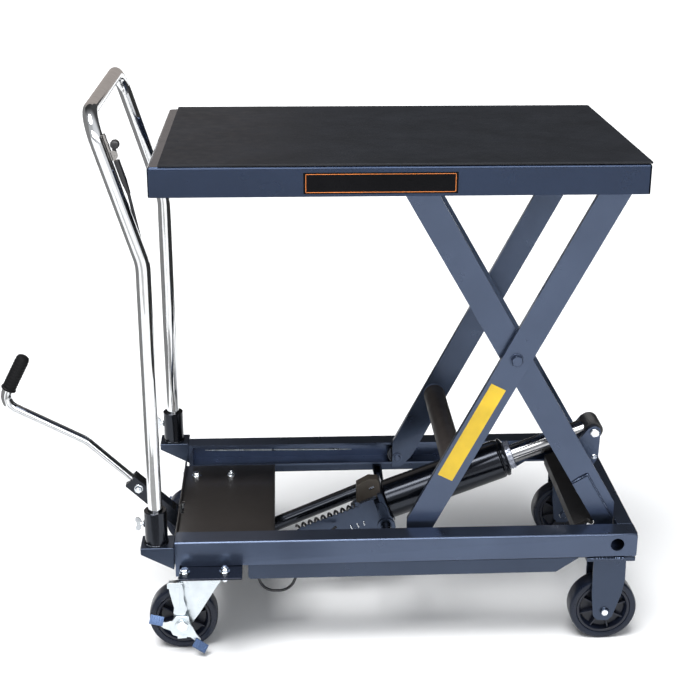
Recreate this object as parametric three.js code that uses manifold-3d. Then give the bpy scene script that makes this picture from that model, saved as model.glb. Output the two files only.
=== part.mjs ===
// Mobile scissor lift table, raised to full height. Millimetres, +Z up, +X from the handle end to the fixed casters.
// Design frame: X = 0 and Y = 0 under the middle of the platform, Z = 0 on the floor.
import * as THREE from "three";
import { mergeVertices } from "three/addons/utils/BufferGeometryUtils.js";
import Module from "manifold-3d";

const wasm = await Module();
wasm.setup();

// Moves the design frame so that the origin is at the bottom centre of the whole part's box.
const SHIFT_X = 135.9;

// Platform
const TOP_LENGTH = 815;
const TOP_WIDTH = 500;
const TOP_Z = 910;
const SKIRT_HEIGHT = 50;
const SHEET = 3;
const MAT_THICK = 4;
const MAT_STRIP = 18;

// Scissor
const CENTRE = [215, 545];
const PIVOT_X = 392;
const BASE_Z = 202;
const TABLE_Z = 2 * CENTRE[1] - BASE_Z;
const ROLLER_X = 2 * CENTRE[0] - PIVOT_X;
const OUTER_ANGLE = Math.atan2(CENTRE[1] - BASE_Z, PIVOT_X - CENTRE[0]);
const INNER_ANGLE = THREE.MathUtils.degToRad(120.2);
const TRAVEL = THREE.MathUtils.degToRad(50);
const BAR_WIDTH = 50;
const OUTER_BAR_Y = [165, 175];
const INNER_BAR_Y = [153, 163];
const PIN_R = 6;
const LOWER_ROLLER_R = 19.7;
const UPPER_ROLLER_R = 18.8;
const CROSS_TUBE_R = 21.2;

// Base frame
const RAIL_Y = [187.5, 227.5];
const RAIL_X = [-383.5, 442];
const RAIL_Z = [178, 226];
const RAIL_THICK = 4;
const PLATE_Z = [173.7, 177.7];
const DECK_Z = [176.7, 180.7];
const CASTER_Y = 194;
const SWIVEL_X = -338;
const FRONT_WHEEL_X = -382.5;
const REAR_WHEEL_X = 393;
const WHEEL_R = 62.5;
const WHEEL_WIDTH = 38;

// Handle
const POST_X = -423;
const POST_Y = 222;
const HANDLE_R = 12.5;
const HANDLE_BEND_Z = 742;
const HANDLE_TOP = [-499, 989];

// Hydraulic unit
const PUMP_PIVOT = [0, 157];
const EYE = [397, 341];
const RAM_ANGLE = THREE.MathUtils.degToRad(21);
const BARREL_R = 38;
const ROD_R = 18;
const PEDAL_PIVOT = [-332, 90.7];
const PEDAL_MOUTH = [-490, 245];

const PAINT = { color: 0x3b4a5e, roughness: 0.35, metalness: 0.3 };
const BLACK = { color: 0x15171a, roughness: 0.3, metalness: 0.3 };
const ZINC = { color: 0xd6dbde, roughness: 0.3, metalness: 0.9 };
const CHROME = { color: 0xe8e8ea, roughness: 0.1, metalness: 1.0 };
const RUBBER = { color: 0x1b1c1e, roughness: 0.85, metalness: 0.0 };
const HUB = { color: 0x262b36, roughness: 0.5, metalness: 0.0 };

const root = new THREE.Group();
root.position.x = SHIFT_X;

function toSolid(geometry) {
  const bare = new THREE.BufferGeometry();
  bare.setAttribute("position", geometry.getAttribute("position"));
  if (geometry.index) bare.setIndex(geometry.index);
  const merged = mergeVertices(bare, 1e-4);
  const mesh = new wasm.Mesh({
    numProp: 3,
    vertProperties: new Float32Array(merged.attributes.position.array),
    triVerts: new Uint32Array(merged.index.array),
  });
  return new wasm.Manifold(mesh);
}

function join(...solids) {
  return wasm.Manifold.union(solids);
}

function cut(body, ...tools) {
  return tools.reduce((left, tool) => left.subtract(tool), body);
}

function box(x0, x1, y0, y1, z0, z1) {
  const g = new THREE.BoxGeometry(x1 - x0, y1 - y0, z1 - z0);
  g.translate((x0 + x1) / 2, (y0 + y1) / 2, (z0 + z1) / 2);
  return toSolid(g);
}

function extrude(points, depth) {
  const shape = new THREE.Shape(points.map((p) => new THREE.Vector2(p[0], p[1])));
  return new THREE.ExtrudeGeometry(shape, { depth, bevelEnabled: false });
}

// A flat outline in X and Z, made thick along Y.
function prismXZ(points, y0, y1) {
  const g = extrude(points, y1 - y0);
  g.rotateX(Math.PI / 2);
  g.translate(0, y1, 0);
  return toSolid(g);
}

// A flat outline in Y and Z, made long along X.
function prismYZ(points, x0, x1) {
  const g = extrude(points, x1 - x0);
  g.applyMatrix4(new THREE.Matrix4().set(0, 0, 1, x0, 1, 0, 0, 0, 0, 1, 0, 0, 0, 0, 0, 1));
  return toSolid(g);
}

// A round bar between two points.
function bar(a, b, radius, sides = 16) {
  const from = new THREE.Vector3(...a);
  const to = new THREE.Vector3(...b);
  const g = new THREE.CylinderGeometry(radius, radius, from.distanceTo(to), sides);
  const turn = new THREE.Quaternion().setFromUnitVectors(
    new THREE.Vector3(0, 1, 0),
    to.clone().sub(from).normalize(),
  );
  g.applyQuaternion(turn);
  g.translate((a[0] + b[0]) / 2, (a[1] + b[1]) / 2, (a[2] + b[2]) / 2);
  return toSolid(g);
}

// A round bar along Y at the point (x, z).
function barY(x, z, y0, y1, radius, sides = 16) {
  return bar([x, y0, z], [x, y1, z], radius, sides);
}

// Points along a path of straight runs whose corners are rounded to the given radius.
function roundedPath(points, radius, steps = 6) {
  const p = points.map((q) => new THREE.Vector3(...q));
  const out = [p[0]];
  for (let i = 1; i < p.length - 1; i++) {
    const a = p[i - 1].clone().sub(p[i]).normalize();
    const b = p[i + 1].clone().sub(p[i]).normalize();
    const half = Math.acos(THREE.MathUtils.clamp(a.dot(b), -1, 1)) / 2;
    const r = Array.isArray(radius) ? radius[i - 1] : radius;
    const back = r / Math.tan(half);
    const mid = a.clone().add(b).normalize().multiplyScalar(r / Math.sin(half)).add(p[i]);
    const start = a.clone().multiplyScalar(back).add(p[i]).sub(mid);
    const end = b.clone().multiplyScalar(back).add(p[i]).sub(mid);
    const sweep = Math.PI - 2 * half;
    const axis = start.clone().cross(end).normalize();
    for (let k = 0; k <= steps; k++) {
      out.push(start.clone().applyAxisAngle(axis, (sweep * k) / steps).add(mid));
    }
  }
  out.push(p[p.length - 1]);
  return out;
}

// A solid round section swept along a path.
function sweep(path, radius, sides = 16) {
  const tangents = path.map((p, i) => {
    const before = path[Math.max(i - 1, 0)];
    const after = path[Math.min(i + 1, path.length - 1)];
    const t1 = p.clone().sub(before);
    const t2 = after.clone().sub(p);
    return t1.normalize().add(t2.normalize()).normalize();
  });
  let normal = new THREE.Vector3(0.31, 0.87, 0.38).cross(tangents[0]).normalize();
  const positions = [];
  path.forEach((p, i) => {
    if (i > 0) {
      const turn = new THREE.Quaternion().setFromUnitVectors(tangents[i - 1], tangents[i]);
      normal = normal.clone().applyQuaternion(turn).normalize();
    }
    const side = tangents[i].clone().cross(normal).normalize();
    for (let k = 0; k < sides; k++) {
      const angle = (2 * Math.PI * k) / sides;
      const q = p
        .clone()
        .addScaledVector(normal, radius * Math.cos(angle))
        .addScaledVector(side, radius * Math.sin(angle));
      positions.push(q.x, q.y, q.z);
    }
  });
  const index = [];
  for (let i = 0; i < path.length - 1; i++) {
    for (let k = 0; k < sides; k++) {
      const a = i * sides + k;
      const b = i * sides + ((k + 1) % sides);
      index.push(a, b, a + sides, b, b + sides, a + sides);
    }
  }
  const last = (path.length - 1) * sides;
  for (let k = 1; k < sides - 1; k++) {
    index.push(0, k + 1, k);
    index.push(last, last + k, last + k + 1);
  }
  const g = new THREE.BufferGeometry();
  g.setAttribute("position", new THREE.Float32BufferAttribute(positions, 3));
  g.setIndex(index);
  return toSolid(g);
}

// A closed outline of (radius, y) points turned about the Y axis through (x, z).
function turnedY(outline, x, y, z, sides = 40) {
  const closed = [...outline, outline[0]].map((p) => new THREE.Vector2(p[0], p[1]));
  const g = new THREE.LatheGeometry(closed, sides);
  g.translate(x, y, z);
  return toSolid(g);
}

// Turns a solid about the Y axis through (x, z): positive lifts +X towards +Z.
function turned(solid, x, z, radians) {
  return solid
    .translate([-x, 0, -z])
    .rotate([0, THREE.MathUtils.radToDeg(-radians), 0])
    .translate([x, 0, z]);
}

// Places points given along and across a line in the XZ plane.
function onLine(origin, angle, points) {
  const c = Math.cos(angle);
  const s = Math.sin(angle);
  return points.map(([t, n]) => [origin[0] + t * c - n * s, origin[1] + t * s + n * c]);
}

function add(name, solid, look) {
  const m = solid.getMesh();
  const g = new THREE.BufferGeometry();
  const xyz = new Float32Array(m.numVert * 3);
  for (let i = 0; i < m.numVert; i++) {
    xyz.set(m.vertProperties.subarray(i * m.numProp, i * m.numProp + 3), i * 3);
  }
  g.setAttribute("position", new THREE.BufferAttribute(xyz, 3));
  g.setIndex(new THREE.BufferAttribute(m.triVerts, 1));
  const mesh = new THREE.Mesh(g, new THREE.MeshStandardMaterial(look));
  mesh.name = name;
  root.add(mesh);
}

// Every side piece is drawn for the near side (negative Y) and mirrored for the far side.
function pair(stem, solid, look) {
  add(stem + "_near", solid, look);
  add(stem + "_far", solid.mirror([0, 1, 0]), look);
}

// Shorthand for a near-side span given by its distances from the middle plane.
function near(span) {
  return [-span[1], -span[0]];
}

// ---- Base rails: channels open to the inside, with an end plate at the handle end
const railProfile = [
  [-RAIL_Y[1], RAIL_Z[0]],
  [-RAIL_Y[0], RAIL_Z[0]],
  [-RAIL_Y[0], RAIL_Z[0] + RAIL_THICK],
  [-RAIL_Y[1] + RAIL_THICK, RAIL_Z[0] + RAIL_THICK],
  [-RAIL_Y[1] + RAIL_THICK, RAIL_Z[1] - RAIL_THICK],
  [-RAIL_Y[0], RAIL_Z[1] - RAIL_THICK],
  [-RAIL_Y[0], RAIL_Z[1]],
  [-RAIL_Y[1], RAIL_Z[1]],
];
const railBody = join(
  prismYZ(railProfile, RAIL_X[0], RAIL_X[1]),
  box(RAIL_X[0] - 8, RAIL_X[0], -RAIL_Y[1], -RAIL_Y[0], 158, RAIL_Z[1]),
  box(374, RAIL_X[1], -193.5, -RAIL_Y[0], RAIL_Z[0], RAIL_Z[1]),
  box(RAIL_X[1] - RAIL_THICK, RAIL_X[1], -RAIL_Y[1], -RAIL_Y[0], RAIL_Z[0], RAIL_Z[1]),
);
pair(
  "rail",
  cut(
    railBody,
    barY(406, 204.5, -RAIL_Y[1] - 1, -RAIL_Y[1] + RAIL_THICK + 1, 12.5, 32),
    barY(PIVOT_X, BASE_Z, -195, -186, PIN_R + 0.16),
  ),
  PAINT,
);

// ---- Rear cross member, deck and the plates that carry the casters
add(
  "rear_cross",
  cut(
    box(413, RAIL_X[1], -187.2, 187.2, RAIL_Z[0], RAIL_Z[1]),
    box(417, RAIL_X[1] + 1, -183, 183, RAIL_Z[0] - 1, RAIL_Z[1] - 4),
  ),
  PAINT,
);
// The deck has a window for the pedal's socket, and its lip stops short of the rollers' path.
add(
  "deck",
  cut(
    join(
      box(-399, -214, -187.2, 187.2, ...DECK_Z),
      box(-399, -395.5, -187.2, 187.2, 160, 192),
      box(-217.5, -214, -162, 162, DECK_Z[0], 185),
    ),
    box(-400, -390.5, -24, 24, 159, 183.5),
  ),
  PAINT,
);
pair("mount_plate", box(-383.2, -271.5, -272, -187.5, ...PLATE_Z), PAINT);
const skirtOutline = [
  [-262, 177.7],
  [-262, 152],
  [-258, 148],
  [297, 149.5],
  [338, 177.7],
];
pair("side_plate", prismXZ(skirtOutline, -224.5, -220.5), PAINT);

// ---- Handle posts' brackets and sockets
const bracketOutline = [
  [-450, RAIL_Z[1]],
  [-450, 214],
  [-391.8, 183],
  [-391.8, RAIL_Z[1]],
];
pair("handle_bracket", prismXZ(bracketOutline, -247, -197), PAINT);
pair(
  "handle_socket",
  cut(
    bar([POST_X, -POST_Y, RAIL_Z[1] + 0.3], [POST_X, -POST_Y, 290], 20, 24),
    bar([POST_X, -POST_Y, RAIL_Z[1] + 6], [POST_X, -POST_Y, 291], HANDLE_R + 0.5, 24),
    bar([POST_X - 24, -POST_Y, 263], [POST_X - 5, -POST_Y, 263], 3.2, 16),
  ),
  BLACK,
);
const thumb = join(
  bar([POST_X - 13.4, -POST_Y, 263], [POST_X - 26, -POST_Y, 263], 3, 16),
  prismXZ(
    [
      [POST_X - 25, 260],
      [POST_X - 25, 266],
      [POST_X - 30, 273],
      [POST_X - 36, 273],
      [POST_X - 34, 265],
      [POST_X - 34, 261],
      [POST_X - 36, 253],
      [POST_X - 30, 253],
    ],
    -POST_Y - 2.5,
    -POST_Y + 2.5,
  ),
);
pair("thumb_screw", thumb, ZINC);

// ---- Push handle: one bent tube from socket to socket
const handlePath = roundedPath(
  [
    [POST_X, -POST_Y, RAIL_Z[1] + 6.5],
    [POST_X, -POST_Y, HANDLE_BEND_Z],
    [HANDLE_TOP[0], -POST_Y, HANDLE_TOP[1]],
    [HANDLE_TOP[0], POST_Y, HANDLE_TOP[1]],
    [POST_X, POST_Y, HANDLE_BEND_Z],
    [POST_X, POST_Y, RAIL_Z[1] + 6.5],
  ],
  [90, 48, 48, 90],
);
add("handle_tube", sweep(handlePath, HANDLE_R, 16), CHROME);

// ---- Platform: folded tray, mat, roller tracks with pivot lugs
const halfL = TOP_LENGTH / 2;
const halfW = TOP_WIDTH / 2;
add(
  "table_tray",
  cut(
    box(-halfL, halfL, -halfW, halfW, TOP_Z - SKIRT_HEIGHT, TOP_Z),
    box(
      -halfL + SHEET,
      halfL - SHEET,
      -halfW + SHEET,
      halfW - SHEET,
      TOP_Z - SKIRT_HEIGHT - 1,
      TOP_Z - SHEET,
    ),
  ),
  PAINT,
);
add(
  "table_mat",
  box(-halfL + MAT_STRIP, halfL, -halfW, halfW, TOP_Z + 0.3, TOP_Z + MAT_THICK),
  RUBBER,
);
const trackTop = TOP_Z - SHEET - 0.3;
pair(
  "table_track",
  cut(
    join(
      box(-400, 404, -197, -193, 863, trackTop),
      box(-400, 60, -193.1, -172, 863, 866.5),
      box(372, 404, -193.1, -180, 870, trackTop),
    ),
    barY(PIVOT_X, TABLE_Z, -199, -179, PIN_R + 0.16),
  ),
  PAINT,
);

// ---- Scissor bars. Each keep-out is a half plane turned through the travel, so the end clears the frame.
const BIG = 400;

function flatBar(angle, y, before, after) {
  const w = BAR_WIDTH / 2;
  const outline = onLine(CENTRE, angle, [
    [-before, -w],
    [after, -w],
    [after, w],
    [-before, w],
  ]);
  return prismXZ(outline, ...near(y));
}

function keepOut(hole, dx, dz, from, to) {
  const tools = [];
  for (let k = 0; k <= 3; k++) {
    const turn = from + ((to - from) * k) / 3;
    const [x, z] = hole;
    const block =
      dx !== null
        ? box(x + dx, x + dx + BIG, -BIG, BIG, z - BIG, z + BIG)
        : dz > 0
          ? box(x - BIG, x + BIG, -BIG, BIG, z + dz, z + dz + BIG)
          : box(x - BIG, x + BIG, -BIG, BIG, z + dz - BIG, z + dz);
    tools.push(turned(block, x, z, turn));
  }
  return tools;
}

const half = Math.hypot(PIVOT_X - CENTRE[0], CENTRE[1] - BASE_Z);
const lowerRoller = [ROLLER_X, BASE_Z];
const tablePivot = [PIVOT_X, TABLE_Z];
const outerUpper = flatBar(OUTER_ANGLE, OUTER_BAR_Y, 0, half + 30);
const outerLower = flatBar(OUTER_ANGLE, OUTER_BAR_Y, half + 30, 0.01);
const outerBar = join(
  cut(
    outerUpper,
    ...keepOut(tablePivot, 11.5, null, 0, TRAVEL),
    ...keepOut(tablePivot, null, 17, 0, TRAVEL),
  ),
  cut(
    outerLower,
    ...keepOut(lowerRoller, null, -20, 0.4, TRAVEL),
    box(ROLLER_X - 10 - BIG, ROLLER_X - 10, -BIG, BIG, 0, TOP_Z),
    box(ROLLER_X - BIG, ROLLER_X + 14, -BIG, BIG, 0, BASE_Z - 20),
  ),
);
const centreHole = barY(...CENTRE, -180, -150, 8.2);
pair(
  "outer_arm",
  cut(
    join(
      outerBar,
      barY(ROLLER_X, BASE_Z, -208, -170, PIN_R),
      barY(ROLLER_X, BASE_Z, -179.5, -174, 10),
      barY(ROLLER_X, BASE_Z, -210, -207.4, 9),
      barY(PIVOT_X, TABLE_Z, -198.5, -170, PIN_R),
    ),
    centreHole,
  ),
  PAINT,
);

const upperRoller = [ROLLER_X, TABLE_Z];
const basePivot = [PIVOT_X, BASE_Z];
const innerBar = cut(
  flatBar(INNER_ANGLE, INNER_BAR_Y, half + 26, half + 26),
  box(-BIG, BIG, -BIG, BIG, 904, 904 + BIG),
  box(PIVOT_X + 19, PIVOT_X + BIG, -BIG, BIG, 0, 227.5),
  box(PIVOT_X - BIG, PIVOT_X + BIG, -BIG, BIG, 0, BASE_Z - 17),
  ...keepOut(basePivot, 19, null, -TRAVEL, 0),
  ...keepOut(upperRoller, null, 17, -TRAVEL, 0),
);
const doubler = prismXZ(
  onLine(CENTRE, INNER_ANGLE, [
    [-271, BAR_WIDTH / 2 - 31],
    [-366, BAR_WIDTH / 2 - 31],
    [-366, BAR_WIDTH / 2],
    [-271, BAR_WIDTH / 2],
  ]),
  -168,
  -162.9,
);
pair(
  "inner_arm",
  cut(
    join(
      innerBar,
      doubler,
      barY(...basePivot, ...near(INNER_BAR_Y), 17),
      barY(...upperRoller, ...near(INNER_BAR_Y), 15),
      barY(...basePivot, -200, -160, PIN_R),
      barY(...upperRoller, -191, -160, PIN_R),
    ),
    centreHole,
  ),
  PAINT,
);

// ---- Cross members of the two bar frames
const crossTube = onLine(CENTRE, OUTER_ANGLE, [[-227, 0]])[0];
add("outer_cross_tube", barY(...crossTube, -164.7, 164.7, CROSS_TUBE_R, 32), PAINT);
// An angle bar: its web lies across the inner arms' edges and its flange hangs down on the handle's side.
const crossPlateOutline = [
  [342, 188],
  [342, 208],
  [385, 224],
  [387, 219],
  [347, 204],
  [347, 188],
];
add("inner_cross_plate", prismXZ(crossPlateOutline, -152.7, 152.7), PAINT);
const EAR_TUBE = [357, 284];
const earOutline = [
  [392, 353],
  [400, 353.5],
  [407, 349],
  [408.5, 341],
  [407, 290],
  [396, 268],
  [356, 264],
  [342, 272],
  [340, 290],
  [350, 303],
  [384, 348],
];
const ears = [-35, 27].map((y) => prismXZ(earOutline, y, y + 8));
add(
  "ram_bracket",
  join(
    barY(...EAR_TUBE, -152.7, 152.7, 16, 20),
    ...ears,
    barY(...EYE, -37, -26.6, 9),
    barY(...EYE, 26.6, 37, 9),
  ),
  PAINT,
);
pair(
  "centre_bolt",
  join(
    barY(...CENTRE, -175.3, -152.7, 8),
    barY(...CENTRE, -184, -175.2, 13, 6),
    barY(...CENTRE, -152.8, -144, 12, 6),
  ),
  ZINC,
);

// ---- Rollers
const rollerOutline = (width, radius) => [
  [PIN_R + 0.16, -width / 2],
  [radius, -width / 2],
  [radius, width / 2],
  [PIN_R + 0.16, width / 2],
];
pair("lower_roller", turnedY(rollerOutline(26, LOWER_ROLLER_R), ROLLER_X, -193.5, BASE_Z, 24), ZINC);
pair("upper_roller", turnedY(rollerOutline(22, UPPER_ROLLER_R), ROLLER_X, -177, TABLE_Z, 24), ZINC);

// ---- Wheels: tyre and hub
const tyreOutline = [
  [50, -WHEEL_WIDTH / 2 + 1],
  [59.5, -WHEEL_WIDTH / 2],
  [WHEEL_R, -WHEEL_WIDTH / 2 + 6],
  [WHEEL_R, WHEEL_WIDTH / 2 - 6],
  [59.5, WHEEL_WIDTH / 2],
  [50, WHEEL_WIDTH / 2 - 1],
];
const hubOutline = [
  [7.15, -21],
  [16, -21],
  [18, -8],
  [41, -8],
  [43, -16],
  [49.4, -16],
  [49.4, 16],
  [43, 16],
  [41, 8],
  [18, 8],
  [16, 21],
  [7.15, 21],
];
const WHEEL_SIDES = 32;
const HUB_SIDES = 20;
const SPOKES = 5;

function hub(x) {
  const disc = turnedY(hubOutline, x, -CASTER_Y, WHEEL_R, HUB_SIDES);
  const ribs = [];
  for (let k = 0; k < SPOKES; k++) {
    const rib = box(x + 14, x + 45, -CASTER_Y - 15, -CASTER_Y + 15, WHEEL_R - 2.5, WHEEL_R + 2.5);
    ribs.push(turned(rib, x, WHEEL_R, (2 * Math.PI * k) / SPOKES));
  }
  return join(disc, ...ribs);
}

pair("rear_tyre", turnedY(tyreOutline, REAR_WHEEL_X, -CASTER_Y, WHEEL_R, WHEEL_SIDES), RUBBER);
pair("rear_hub", hub(REAR_WHEEL_X), HUB);
pair("front_tyre", turnedY(tyreOutline, FRONT_WHEEL_X, -CASTER_Y, WHEEL_R, WHEEL_SIDES), RUBBER);
pair("front_hub", hub(FRONT_WHEEL_X), HUB);

// ---- Rigid casters under the rails' far ends
const rigidFork = [
  [366, 170.2],
  [367, 100],
  [372, 54],
  [380, 45],
  [400, 44],
  [408, 52],
  [422, 98],
  [427, 129],
  [426, 170.2],
];
pair(
  "rigid_fork",
  join(
    box(352, 441, -227, -161, 170, 177.7),
    prismXZ(rigidFork, -222, -218),
    prismXZ(rigidFork, -170, -166),
    barY(REAR_WHEEL_X, WHEEL_R, -226, -162, 7),
    barY(REAR_WHEEL_X, WHEEL_R, -226.5, -221.9, 8.5),
  ),
  PAINT,
);

// ---- Swivel casters under the deck end
pair(
  "caster_plate",
  join(
    box(-383, -293, -261, -127, 168, 173.4),
    bar([SWIVEL_X, -CASTER_Y, 150], [SWIVEL_X, -CASTER_Y, 168.1], 9, 16),
  ),
  ZINC,
);
const swivelFork = [
  [-374, 150.5],
  [-405, 70],
  [-399, 50],
  [-386, 44],
  [-368, 50],
  [-350, 78],
  [-318, 132],
  [-306, 150.5],
];
const brakeStrap = [
  [-403, 150.5],
  [-405, 112],
  [-398, 86],
  [-384, 86],
  [-378, 112],
  [-374, 150.5],
];
pair(
  "swivel_fork",
  cut(
    join(
      bar([SWIVEL_X, -CASTER_Y, 150], [SWIVEL_X, -CASTER_Y, 166], 33, 24),
      box(-392, -306, -221, -167, 146.5, 150.6),
      prismXZ(swivelFork, -221, -217),
      prismXZ(swivelFork, -171, -167),
      prismXZ(brakeStrap, -231, -220.9),
      barY(FRONT_WHEEL_X, WHEEL_R, -239, -162, 7),
      barY(FRONT_WHEEL_X, WHEEL_R, -242, -236.4, 10, 6),
    ),
    bar([SWIVEL_X, -CASTER_Y, 145], [SWIVEL_X, -CASTER_Y, 167], 9.4, 16),
  ),
  ZINC,
);
const brakeOutline = [
  [-394, 79],
  [-406, 66],
  [-420, 70],
  [-443, 82],
  [-446, 76],
  [-420, 54],
  [-404, 38],
  [-384, 32],
  [-366, 34],
  [-346, 10],
  [-336, 18],
  [-362, 54],
  [-370, 77],
];
pair(
  "brake_pedal",
  cut(
    prismXZ(brakeOutline, -236, -231.3),
    barY(FRONT_WHEEL_X, WHEEL_R, -240, -225, 7.15),
  ),
  ZINC,
);

// ---- Hydraulic unit: barrel with its base block, support tube and pedal lugs
const ramAt = (t, n) => onLine(EYE, RAM_ANGLE, [[t, n]])[0];
const along = (t0, t1, radius, sides) => {
  const a = ramAt(t0, 0);
  const b = ramAt(t1, 0);
  return bar([a[0], 0, a[1]], [b[0], 0, b[1]], radius, sides);
};
const flange = onLine(EYE, RAM_ANGLE, [
  [-412, -44],
  [-400, -44],
  [-400, 44],
  [-412, 44],
]);
const boss = [
  [-18, 150],
  [-10, 143],
  [10, 143],
  [20, 156],
  [16, 190],
  [-30, 190],
];
const pumpBlock = [
  [-57, 258],
  [-57, 200],
  [-31, 200],
  [-31, 170],
  [-10, 170],
  [-10, 256],
];
const pumpGuard = [
  [-172, 130],
  [-172, 152],
  [-160, 163],
  [-62, 200],
  [-34, 196],
  [-20, 150],
  [-60, 130],
];
add(
  "ram_barrel",
  cut(
    join(
      along(-412, -176, BARREL_R, 32),
      along(-177, -160, 27, 24),
      prismXZ(flange, -44, 44),
      prismXZ(boss, -46, 46),
      prismXZ(pumpBlock, -36, 0),
      prismXZ(pumpGuard, -64, -60),
      barY(-34, 178, -62, -30, 6, 16),
    ),
    along(-362, -150, ROD_R + 0.1, 24),
    barY(...PUMP_PIVOT, -50, 50, 10.15, 24),
  ),
  BLACK,
);
add("pump_pivot", barY(...PUMP_PIVOT, -220.2, 220.2, 10, 24), BLACK);
const tubeLine = Math.atan2(209 - PEDAL_PIVOT[1], -54 - PEDAL_PIVOT[0]);
const tubeEnd = onLine(PEDAL_PIVOT, tubeLine, [[24, 0]])[0];
const tubeTop = onLine(PEDAL_PIVOT, tubeLine, [[289, 0]])[0];
add(
  "pump_tube",
  join(
    bar([tubeEnd[0], 0, tubeEnd[1]], [tubeTop[0], 0, tubeTop[1]], 14),
    prismXZ(
      onLine(PEDAL_PIVOT, tubeLine, [
        [-14, -14],
        [34, -14],
        [34, 14],
        [-14, 14],
      ]),
      -28,
      -18.5,
    ),
    prismXZ(
      onLine(PEDAL_PIVOT, tubeLine, [
        [-14, -14],
        [34, -14],
        [34, 14],
        [-14, 14],
      ]),
      18.5,
      28,
    ),
    prismXZ(
      onLine(PEDAL_PIVOT, tubeLine, [
        [24, -14],
        [34, -14],
        [34, 14],
        [24, 14],
      ]),
      -28,
      28,
    ),
    barY(...PEDAL_PIVOT, -28, 28, PIN_R),
  ),
  BLACK,
);
// ---- Return spring beside the pump
const SPRING_R = 11;
const SPRING_WIRE = 2.4;
const SPRING_TURNS = 9;
const springStart = [-170, 148];
const springEnd = [-58, 192];
const springPath = [];
for (let k = 0; k <= SPRING_TURNS * 6; k++) {
  const t = k / (SPRING_TURNS * 6);
  const angle = t * SPRING_TURNS * 2 * Math.PI;
  const slope = Math.atan2(springEnd[1] - springStart[1], springEnd[0] - springStart[0]);
  const n = SPRING_R * Math.cos(angle);
  springPath.push(
    new THREE.Vector3(
      springStart[0] + (springEnd[0] - springStart[0]) * t - n * Math.sin(slope),
      -44 + SPRING_R * Math.sin(angle),
      springStart[1] + (springEnd[1] - springStart[1]) * t + n * Math.cos(slope),
    ),
  );
}
add("return_spring", sweep(springPath, SPRING_WIRE, 5), ZINC);

// ---- Piston rod with its ribbed eye
const rodStart = ramAt(-235, 0);
const rodEnd = ramAt(-14, 0);
add(
  "piston_rod",
  join(
    bar([rodStart[0], 0, rodStart[1]], [rodEnd[0], 0, rodEnd[1]], ROD_R, 24),
    barY(...EYE, -26, 26, 18, 24),
  ),
  CHROME,
);

// ---- Foot pedal: square socket, bent tube and grip
const leverAngle = Math.atan2(PEDAL_MOUTH[1] - PEDAL_PIVOT[1], PEDAL_MOUTH[0] - PEDAL_PIVOT[0]);
const leverLength = Math.hypot(PEDAL_MOUTH[0] - PEDAL_PIVOT[0], PEDAL_MOUTH[1] - PEDAL_PIVOT[1]);
const leverSocket = prismXZ(
  onLine(PEDAL_PIVOT, leverAngle, [
    [-14, -14],
    [leverLength, -14],
    [leverLength, 14],
    [-14, 14],
  ]),
  -14,
  14,
);
const leverInner = onLine(PEDAL_PIVOT, leverAngle, [[leverLength - 50, 0]])[0];
const leverOuter = onLine(PEDAL_PIVOT, leverAngle, [[leverLength + 1, 0]])[0];
add(
  "pedal_socket",
  cut(
    leverSocket,
    barY(...PEDAL_PIVOT, -20, 20, PIN_R + 0.16),
    bar([leverInner[0], 0, leverInner[1]], [leverOuter[0], 0, leverOuter[1]], 10.4, 24),
  ),
  BLACK,
);
const pedalInner = onLine(PEDAL_PIVOT, leverAngle, [[leverLength - 49, 0]])[0];
const pedalBend = onLine(PEDAL_PIVOT, leverAngle, [[leverLength + 96, 0]])[0];
const GRIP_FOOT = [-709, 431];
const GRIP_TOP = [-676, 497];
const pedalPath = roundedPath(
  [
    [pedalInner[0], 0, pedalInner[1]],
    [pedalBend[0], 0, pedalBend[1]],
    [-726, 0, 397],
    [GRIP_TOP[0] - 2, 0, GRIP_TOP[1] - 4],
  ],
  [60, 24],
);
add("pedal_tube", sweep(pedalPath, 10, 16), CHROME);
const gripAngle = Math.atan2(GRIP_TOP[1] - GRIP_FOOT[1], GRIP_TOP[0] - GRIP_FOOT[0]);
const gripLength = Math.hypot(GRIP_TOP[1] - GRIP_FOOT[1], GRIP_TOP[0] - GRIP_FOOT[0]);
const gripOutline = [
  [10.3, 0],
  [13, 0],
  [13, gripLength - 6],
  [9, gripLength + 1],
  [0, gripLength + 3],
  [0, gripLength - 1],
  [10.3, gripLength - 1],
];
const gripLathe = new THREE.LatheGeometry(
  [...gripOutline, gripOutline[0]].map((p) => new THREE.Vector2(p[0], p[1])),
  20,
);
gripLathe.rotateX(Math.PI / 2);
add(
  "pedal_grip",
  toSolid(gripLathe)
    .rotate([0, 90 - THREE.MathUtils.radToDeg(gripAngle), 0])
    .translate([GRIP_FOOT[0], 0, GRIP_FOOT[1]]),
  RUBBER,
);

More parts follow.
